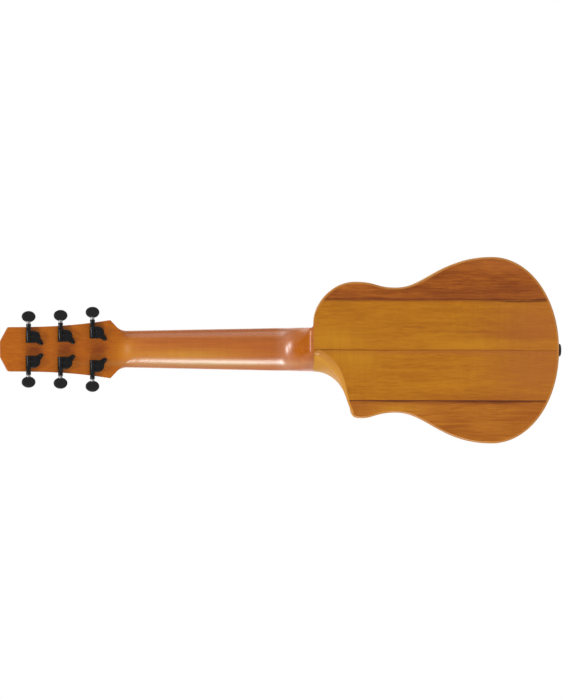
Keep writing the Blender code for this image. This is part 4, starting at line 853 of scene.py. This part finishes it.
def heelSection(t, half):
    # the heel's foot: straight bass side, flat cap, and the scoop's curve on the treble side
    depth, edge, place = backY(jointZ), neck["edge"], t * around["whole"]
    side, corner, cap = around["side"], around["heelCorner"], around["heelCap"]
    level = np.interp(place, range(side + 1), around["levels"])
    turn = np.interp(place, range(side, corner + 1), around["turns"])
    share = np.clip((place - corner) / (cap - corner), 0, 1)
    down = np.clip((around["whole"] - place) / (around["whole"] - cap), 0, 1)
    parts = [place <= side, place <= corner, place <= cap]
    onCap = -half + edge + share * (body["scoopStart"] + half - edge)
    x = np.select(
        parts, [-half, -half + edge * (1 - np.cos(turn)), onCap],
        half + (body["scoopStart"] - half) * scoopShare(down),
    )
    y = np.select(
        parts, [level * (depth - edge), depth - edge * (1 - np.sin(turn)), depth + 0 * t], down * depth
    )
    return x, y


def neckRows():
    # ovals up the neck that turn into the heel's foot at the joint and into the head's section at the nut
    t = np.linspace(0, 1, neck["columns"])
    across = np.ones(len(t))
    heelTop, cap, back = jointZ + neck["heelTop"], jointZ + neck["heelCap"], backY(jointZ)
    edges = (jointZ, cap, heelTop, neck["shaftTop"])
    heights = [np.linspace(low, high, count)[1:] for low, high, count in zip(edges, edges[1:], neck["rows"])]
    rows = []
    for z in np.concatenate([[jointZ], *heights]):
        half = neckHalf(z)
        rounder = neck["heelRounder"] * smooth(heelTop + neck["rounderPast"] - z, 0, neck["rounderPast"])
        oval = roundSection(t, neck["power"] - rounder)
        depth = neck["depthNut"] + (neck["depthHeel"] - neck["depthNut"]) * min(z / heelTop, 1)
        share = max((heelTop - z) / (heelTop - cap), 0) ** neck["heelPower"]
        share /= (1 + share ** neck["heelCorner"]) ** (1 / neck["heelCorner"])
        depth += (back - depth) * share
        x, y = half * oval[0], depth * oval[1]
        heel = heelSection(t, half)
        square = share ** neck["heelSquare"]
        x, y = x + (heel[0] - x) * square, y + (heel[1] * depth / back - y) * square
        low = np.clip(1 - (z - jointZ) / neck["heelCap"], 0, 1) ** neck["flarePower"]
        x = np.where(x < 0, x * (1 + neck["flare"] * low / half * y / back), x)
        rows.append(np.column_stack([x, y, z * across]))
    oval = roundSection(t, neck["power"])
    ups = [np.linspace(*head["below"], 9), headOutline[:25, 1], np.linspace(*head["sides"], 60)]
    for s in np.concatenate([*ups, head["aboutCorner"], np.linspace(head["endFrom"], head["length"], 9)]):
        z = head["start"] + s
        half = np.interp(s, headOutline[:, 1], headOutline[:, 0]) if s > headOutline[0, 1] else neckHalf(z)
        onNeck = np.column_stack([half * oval[0], neck["depthNut"] * oval[1], z * across])
        x, n = squareSection(t, half, head["thickness"], head["edge"])
        onHead = headPlace(np.column_stack([x, n, s * across]))
        rows.append(onNeck + (onHead - onNeck) * smooth(s, *head["blend"]))
    return np.array(rows)


headOutline = headSide()
makePiece("neckAndHead", [grid(neckRows(), caps="both")], ["neck"], "neck", sharp=50)


# Flat plates: a closed loop with a rounded edge on one face, whose last ring lies this many radii inside
plateLevel = 1.6


def plateShell(loop, near, far, radius, place=lambda points: points, steps=4):
    # rings step in along the mitred inward steps as the edge turns from the side to the far face
    loop = clockwise(loop)
    step, sign = inwardRound(loop), math.copysign(1, far - near)
    turned = roundedRings(loop, step, radius, np.linspace(0, 90, steps + 1))
    rings = [(loop, near)] + [(path, far - sign * drop) for path, drop in turned]
    rings.append((loop + step * radius * plateLevel, far))
    return grid(place(layered(rings)), caps="both")


sideways, along = headOutline.T
foot = head["veneerFoot"]
veneer = np.vstack([[np.interp(foot, along, sideways), foot], headOutline[along > foot]])
loop = np.vstack([veneer, (veneer * (-1, 1))[::-1]])
veneer = plateShell(loop, 0, -head["veneer"], head["veneerRound"], headPlace)
makePiece("headFront", [veneer], ["darkWood"], "head_veneer")

# Fretboard and frets. A fret is a row of half ovals, each end drawn in over (inset, height's share) steps
fret = {
    "count": 18, "half": 0.0010, "crown": 0.00095, "foot": 0.0008, "level": -0.0053, "inset": 0.0003,
    "ends": ((0, 0.5), (0.0003, 0.9), (0.0008, 1)), "steps": 9, "boardRound": 0.0005, "boardSteps": 20,
}
nutHalf, endHalf, endZ = neckHalf(0), neckHalf(neck["boardEnd"]), neck["boardEnd"]
corners = ((nutHalf, 0), (endHalf, endZ), (-endHalf, endZ), (-nutHalf, 0))
sides = [np.linspace(start, end, fret["boardSteps"]) for start, end in zip(corners, corners[1:])]
loop = np.vstack([sides[0], sides[1][1:-1], sides[2]])
shells = [plateShell(loop, 0, fret["level"], fret["boardRound"])]
angle = np.linspace(math.pi, 0, fret["steps"])
section = np.column_stack([fret["half"] * np.cos(angle), fret["crown"] * np.sin(angle)])
section = np.vstack([(-fret["half"], -fret["foot"]), section, (fret["half"], -fret["foot"])])
for z in fretPlace(np.arange(1, fret["count"] + 1)):
    reach = neckHalf(z) - fret["inset"]
    ends = [(inset - reach, scale) for inset, scale in fret["ends"]]
    ends += [(reach - inset, scale) for inset, scale in fret["ends"][::-1]]
    rows = []
    for x, scale in ends:
        height = section[:, 1] * np.where(section[:, 1] > 0, scale, 1)
        rows.append(np.column_stack([np.full(len(section), x), fret["level"] - height, z + section[:, 0]]))
    shells.append(grid(np.array(rows), caps="both", paint=1))
makePiece("fingerboard", shells, ["darkWood", "steel"], "fretboard")
print("stage: neck, head and fretboard")

# Small blocks keep the frame's shape and get softened edges
softEdge = {"merge": 1e-6, "flat": math.radians(1), "segments": 2, "angle": math.radians(35)}


def softened(name, node, finish, width, shift=(0, 0, 0)):
    # the frame's own mesh with one finish, moved by the shift, under a bevel of this width
    mesh = nodes[node].data.copy()
    mesh.materials.clear()
    shape = bmesh.new()
    shape.from_mesh(mesh)
    bmesh.ops.remove_doubles(shape, verts=shape.verts, dist=softEdge["merge"])
    bmesh.ops.dissolve_limit(shape, angle_limit=softEdge["flat"], verts=shape.verts, edges=shape.edges)
    bmesh.ops.translate(shape, vec=shift, verts=shape.verts)
    shape.to_mesh(mesh)
    shape.free()
    mesh.materials.append(finishes[finish])
    mesh.shade_smooth()
    bevel = settle(name, mesh, "instrument", node).modifiers.new("softEdges", "BEVEL")
    bevel.width = width
    bevel.segments = softEdge["segments"]
    bevel.limit_method = "ANGLE"
    bevel.angle_limit = softEdge["angle"]
    bevel.harden_normals = True


softened("nutBlock", "nut", "bone", 0.0003, (0, 0.0003, 0))
softened("saddleBar", "saddle", "bone", 0.0002)
softened("bridgeBlock", "bridge", "darkWood", 0.0004, (0, 0.0003, 0))

# Strings: a tube along the route from the tie block over saddle and nut, then round the post. Each point on
# the bridge is its distance from the saddle and its height, each followed by the string radii to add
strings = {
    "radii": (0.00055, 0.00046, 0.00038, 0.00050, 0.00042, 0.00036),
    "names": ("e_low", "a", "d", "g", "b", "e_high"), "wound": 3,
    "spreadNut": 0.038, "spreadSaddle": 0.052, "saddleZ": -0.4334, "turns": 2.25, "pitch": 0.0016,
    "height": 0.0060, "sides": 12, "postRadius": 0.0028, "postGap": 0.00003, "nutHeight": 0.0066,
    "nutDepth": 0.0050, "stepsRound": 40, "headFrom": -0.01,
    "onBridge": np.array([
        (-0.0123, 0, 0.0088, 1), (-0.0179, 0, 0.0088, 1), (-0.0188, -2, 0.0082, 0), (-0.0188, -2, 0.0056, 2),
        (-0.0185, 0, 0.0056, 0), (-0.0117, 0, 0.0056, 0), (-0.00125, 0, 0.01092, 1), (0.00125, 0, 0.01092, 1),
    ]),
}
# Posts: how far up the head and how far from its middle each pair stands
posts = ((0.0318, 0.0212), (0.0723, 0.0171), (0.1126, 0.0156))


def tube(path, radius, sides):
    # circles across the path: one axis is the cross product of its direction and the head's normal
    run = np.gradient(path, axis=0)
    run /= np.linalg.norm(run, axis=1)[:, None]
    normal = np.array([0, math.cos(head["tilt"]), -math.sin(head["tilt"])])
    first = np.where((path[:, 2] > strings["headFrom"])[:, None], np.cross(run, normal), (-1.0, 0, 0))
    first /= np.linalg.norm(first, axis=1)[:, None]
    second = np.cross(run, first)
    angle = np.linspace(0, 2 * math.pi, sides, endpoint=False)
    circle = np.cos(angle)[None, :, None] * first[:, None] + np.sin(angle)[None, :, None] * second[:, None]
    points = path[:, None] + radius * circle
    length = np.broadcast_to(lengthAlong(path)[:, None], points.shape[:2])
    return grid(points, caps="both", grain=np.stack([0 * length, 0 * length, length], axis=-1))


def stringPath(number):
    # the bridge's points, two over the nut, then a coil whose distance from the post is the string's radius
    radius, round_ = strings["radii"][number], strings["stepsRound"]
    side = -1 if number < 3 else 1
    along, out = posts[min(number, 5 - number)]
    xBridge, xNut = (strings[spread] * (number / 5 - 0.5) for spread in ("spreadSaddle", "spreadNut"))
    offset, offsetRadii, height, heightRadii = strings["onBridge"].T
    z = strings["saddleZ"] + offset + offsetRadii * radius
    bridge = np.column_stack([xBridge + 0 * z, -height - heightRadii * radius, z])
    nut = [(xNut, -strings["nutHeight"] - radius, z) for z in (0, strings["nutDepth"])]
    steps = np.arange(round(strings["turns"] * round_) + 1) / round_
    reach = strings["postRadius"] + radius + strings["postGap"]
    across, up = reach * np.cos(2 * math.pi * steps), reach * np.sin(2 * math.pi * steps)
    depth = -strings["height"] - strings["pitch"] * steps
    return np.vstack([bridge, nut, headPlace(np.column_stack([side * (out - across), depth, along + up]))])


for number, name in enumerate(strings["names"]):
    finish = "wound" if number < strings["wound"] else "nylon"
    shell = tube(stringPath(number), strings["radii"][number], strings["sides"])
    makePiece("string" + name.title().replace("_", ""), [shell], [finish], "string_" + name)
print("stage: strings")


# Tuners, drawn in the head's own axes for the treble side and mirrored for the bass side. The shaft runs
# across, above the base and beside the post, which runs through the head
tuners = {
    "base": 0.0153, "shaft": np.array((0, 0.0194, 0.0076)), "teeth": 14, "gearRadius": 0.0055,
    "wormRadius": 0.0021, "sharp": 40,
}
pitch = 2 * math.pi * tuners["gearRadius"] / tuners["teeth"]
# Turned parts: sides, axis, and the profile as (radius, distance), where the distance is from the head's
# front on the post and from the gear on the shaft. Six values are an arc: centre, radius, two angles, steps
turned = {
    "lid": (56, "post", [
        (0, 0.0205), (0.00585, 0.0205), (0.00585, 0.0230), (0.00545, 0.0229, 0.0004, 0, 90, 4),
        (0.00425, 0.0233), (0.00405, 0.0231), (0.00375, 0.0231), (0.00355, 0.0233), (0, 0.0233),
    ]),
    "barrel": (48, "shaft", [
        (0, -0.0076), (0.00312, -0.0076), (0.00312, -0.0072, 0.0004, -90, 0, 4),
        (0.00312, 0.0072, 0.0004, 0, 90, 4), (0, 0.0076),
    ]),
    "collar": (40, "shaft", [
        (0, 0.0056), (0.0033, 0.0056), (0.0033, 0.0083), (0.0031, 0.0086), (0.0031, 0.0148),
        (0.00332, 0.0150), (0.0030, 0.0159, 0.0003, 0, 90, 4), (0, 0.0162),
    ]),
    "washer": (48, "post", [
        (0, -0.0013), (0.0072, -0.0013), (0.0070, -0.0018, 0.0002, 0, -90, 3), (0, -0.0020),
    ]),
    "shaft": (24, "shaft", [(0, -0.0067), (0.00143, -0.0067), (0.00143, 0.0160), (0, 0.0160)]),
    "ferrule": (40, "shaft", [
        (0, 0.0156), (0.0014, 0.0156), (0.0014, 0.0164), (0.0024, 0.0164),
        (0.0024, 0.0167, 0.0003, -90, 0, 4), (0.0027, 0.0174), (0.0024, 0.0178), (0.0024, 0.0180),
        (0.0026, 0.0186), (0.0024, 0.0196), (0, 0.0196),
    ]),
    "post": (40, "post", [
        (0, 0.0207), (0.0030, 0.0207), (0.0030, -0.0045), (0.00279, -0.0057), (0.00279, -0.0108),
        (0.0030, -0.0120), (0.0024, -0.0144, 0.0006, 0, -90, 5), (0.0009, -0.0150), (0.0006, -0.0147),
        (0, -0.0147),
    ]),
}


def onAxis(points, axis):
    # turns a lathe shape from the third axis to the tuner's shaft or post
    if axis == "shaft":
        return points[..., (2, 0, 1)] + tuners["shaft"]
    return points[..., (0, 2, 1)]


def lathed(name, paint=0):
    # one of the turned parts, its arcs drawn out in points
    sides, axis, entries = turned[name]
    drawn = [[entry] if len(entry) == 2 else arc(entry[:2], *entry[2:]) for entry in entries]
    return grid(onAxis(turning(sum(drawn, []), sides), axis), paint=paint)


# A screw's head: the rings and sides of its disc, how sharp its slots are, where they end, and its skirt
cross = {"rings": 22, "sides": 64, "slotEdge": (0.7, 1.3), "slotEnd": (0.55, 0.72), "skirt": 0.0008}


def crossHead(radius, dome, depth, width):
    # a domed disc on a polar grid, let in along two crossed slots, as (across, across, height)
    r = np.linspace(0, radius, cross["rings"])[:, None]
    angle = np.linspace(0, 2 * math.pi, cross["sides"], endpoint=False)
    x, y = r * np.cos(angle), r * np.sin(angle)
    inSlot = smooth(np.minimum(np.abs(x), np.abs(y)), *(width * share for share in cross["slotEdge"]))
    pastEnd = smooth(r, *(radius * share for share in cross["slotEnd"]))
    height = dome * (1 - (r / radius) ** 2) - depth * (1 - inSlot) * (1 - pastEnd)
    disc = np.stack([x, y, height + 0 * x], axis=-1)
    skirt = np.stack([x[-1], y[-1], 0 * x[-1] - cross["skirt"]], axis=-1)[None]
    return np.vstack([disc, skirt])


# Housing: depths are from the head's front. A screw is its radius, dome, slot's depth and slot's width, and
# stands at (across, depth, along)
housing = {
    "half": 0.0076, "past": 0.0086, "block": 0.0219, "blockRound": 0.0009, "chamber": 0.00722,
    "ear": (-0.0078, -0.0086), "earRadius": 0.0027, "earRoot": 0.0050, "earTop": 0.0175, "earRound": 0.0006,
    "earScrew": (0.0019, 0.0006, 0.0006, 0.00035), "earScrewPlace": (-0.0078, 0.0177, -0.0086),
    "lidScrew": (0.0016, 0.0004, 0.0005, 0.0003), "lidScrewPlace": (0, 0.0232, 0),
    "nut": 0.0060, "nutBack": -0.0020, "nutFront": -0.0041, "nutRound": 0.0004,
}


def housingShells():
    # a block round the gear, lid, barrel, collar, ear, two screws, and on the head's front a washer and a nut
    half, past, base = housing["half"], housing["past"], tuners["base"]
    block = arc((0, 0), housing["chamber"], 198, 342, 30)
    block += [(half, 0), (half, past), (-half, past), (-half, 0)]
    # the ear is a wide arc round the gear's axis and a narrow one round the screw, joined by their tangents
    (x, y), narrow, wide = housing["ear"], housing["earRadius"], housing["earRoot"]
    heading = math.degrees(math.atan2(y, x))
    touch = math.degrees(math.acos((wide - narrow) / math.hypot(x, y)))
    ear = arc((x, y), narrow, heading - touch, heading + touch, 14)
    ear += arc((0, 0), wide, heading + touch, heading + 360 - touch, 20)
    corners = np.array(arc((0, 0), housing["nut"], 0, 300, 5))
    nut = np.vstack([np.linspace(a, b, 5)[:-1] for a, b in zip(corners, np.roll(corners, -1, axis=0))])
    earScrew = onAxis(crossHead(*housing["earScrew"]), "post") + np.array(housing["earScrewPlace"])
    lidScrew = onAxis(crossHead(*housing["lidScrew"]), "post") + np.array(housing["lidScrewPlace"])
    return [
        plateShell(block, base, housing["block"], housing["blockRound"], steps=5),
        lathed("lid"), lathed("barrel"), lathed("collar"),
        plateShell(ear, base, housing["earTop"], housing["earRound"], steps=5),
        grid(earScrew, caps="end", paint=1), grid(lidScrew, caps="end"), lathed("washer"),
        plateShell(nut, housing["nutBack"], housing["nutFront"], housing["nutRound"], steps=5),
    ]


# Knob: the worm's thread, and the button by its start, length, width, thickness and powers of its roundness
knob = {
    "wormTurns": 2.3, "wormSteps": 70, "wormRadii": np.array([0.00128, 0.00252, 0.00252, 0.00128]),
    "wormAcross": np.array([-0.00075, -0.0003, 0.0003, 0.00075]), "start": 0.0184, "long": 0.0142,
    "wide": 0.0175, "thick": 0.0060, "outline": 0.42, "section": 0.62, "sides": 72, "rings": 25,
}


def knobShells():
    # the worm is a four-sided ridge carried along a helix, the button a flattened ball made fuller by powers
    # of the sine and the cosine
    reach = knob["wormTurns"] * math.pi
    angle = np.linspace(-reach, reach, knob["wormSteps"])[:, None]
    radius, along = knob["wormRadii"], pitch * angle / (2 * math.pi) + knob["wormAcross"]
    worm = np.stack([along, -radius * np.sin(angle), -radius * np.cos(angle)], axis=-1) + tuners["shaft"]
    u = np.linspace(0, 2 * math.pi, knob["sides"], endpoint=False)
    v = np.linspace(-math.pi / 2, math.pi / 2, knob["rings"])[:, None]
    draw = np.abs(np.cos(v)) ** knob["outline"]
    x = knob["start"] + knob["long"] / 2 * (1 + draw * np.cos(u))
    n = knob["thick"] / 2 * np.sign(v) * np.abs(np.sin(v)) ** knob["section"] + 0 * u
    button = np.stack([x, n, knob["wide"] / 2 * draw * np.sin(u)], axis=-1) + tuners["shaft"]
    return [lathed("shaft", 1), grid(worm, caps="both", paint=1), lathed("ferrule", 1), grid(button)]


# The gear's teeth: each is four points of a ring, and the rings lie at these levels
gear = {
    "radii": np.array([0.00483, 0.00592, 0.00592, 0.00483]), "levels": (-0.0016, 0.0, 0.0016),
    "across": np.array([-0.00069, -0.0003, 0.0003, 0.00069]),
}


def postShells():
    # the turned post, and the gear's rings, each turned further than the last, so that the teeth match the
    # worm: by the pitch over the worm's round and over the gear's radius, per metre
    tooth = np.arange(tuners["teeth"])[:, None] + 0.5
    lean = pitch / (2 * math.pi * tuners["wormRadius"]) / tuners["gearRadius"]
    radii, rows = gear["radii"], []
    for level in gear["levels"]:
        angle = 2 * math.pi * tooth / tuners["teeth"] + lean * level + gear["across"] / radii
        ring = [-radii * np.sin(angle), tuners["shaft"][1] + level + 0 * angle, radii * np.cos(angle)]
        rows.append(np.stack(ring, axis=-1).reshape(-1, 3))
    return [lathed("post"), grid(np.array(rows), caps="both")]


def placed(shells, side, out, along):
    # the shells of one tuner, mirrored to its side and moved to its post's place on the head
    moved = [headPlace(shell["points"] * (side, 1, 1) + (side * out, 0, along)) for shell in shells]
    return [{**shell, "points": points, "grain": points} for shell, points in zip(shells, moved)]


parts = (
    ("tunerHousing", housingShells(), ["blackMetal"] * 2, "tuner_housing", "black_metal", "instrument"),
    ("tunerKnob", knobShells(), ["blackPlastic", "steel"], "tuner_knob", "black_plastic", "knob_{}"),
    ("tunerPost", postShells(), ["steel"], "tuner_post", "steel", "post_{}"),
)
stations = [(side, out, along) for side in (-1, 1) for along, out in posts]
for number, station in enumerate(stations, 1):
    for name, shells, finish, node, slot, rides in parts:
        rides, node = rides.format(number), f"{node}_{number}"
        makePiece(f"{name}{number}", placed(shells, *station), finish, node, rides, tuners["sharp"])
print("stage: tuners")

# Strap button at the tail, with its washer and screw, turned round the screw's axis. Its profile swells from
# the neck to the rim and rounds over to the sink, each with the two handles of a curve
strap = {
    "place": np.array((0, (body["top"] + backY(tailZ)) / 2, tailZ)), "foot": [(0, 0.0009), (0.0055, 0.0009)],
    "neck": (0.0055, 0.0015), "swell": ((0.0057, 0.0025), (0.0081, 0.0021)), "rim": (0.0081, 0.0035),
    "over": ((0.0081, 0.0052), (0.0063, 0.0060)), "top": (0.0036, 0.0060),
    "sink": [(0.0032, 0.0058), (0.0030, 0.0050), (0, 0.0050)],
    "washer": [(0, 0), (0.0059, 0), (0.0060, 0.0003), (0.0059, 0.0009), (0, 0.0009)],
    "screw": (0.0028, 0.0008, 0.0007, 0.0005), "screwLevel": (0, 0, 0.0051),
}


def down(points, caps="none"):
    # a turned shape hung under the tail
    return [grid(points * (1, 1, -1) + strap["place"], caps=caps)]


swell = curve(strap["neck"], *strap["swell"], strap["rim"], 10)
over = curve(strap["rim"], *strap["over"], strap["top"], 12)
profile = np.vstack([strap["foot"], strap["neck"], swell, over, strap["sink"]])
makePiece("strapButton", down(turning(profile, 64)), ["blackPlastic"], "strap_button")
makePiece("strapWasher", down(turning(strap["washer"], 48)), ["felt"], "strap_button_washer")
screw = down(crossHead(*strap["screw"]) + np.array(strap["screwLevel"]), "end")
makePiece("strapScrew", screw, ["steel"], "strap_button_screw")

# Inside: the frame's own blocks, linings and braces in bare wood, and the neck's rod in steel
bare = ("neck_block", "tail_block", "back_centre_strip", "lining_", "top_brace", "fan_brace", "back_brace")
for prefixes, finish in ((bare, "bareWood"), (("neck_rod",), "steel")):
    for node in nodes:
        if node.startswith(prefixes):
            nodes[node].data.materials.clear()
            nodes[node].data.materials.append(finishes[finish])
print("stage: strap button and inner woods")
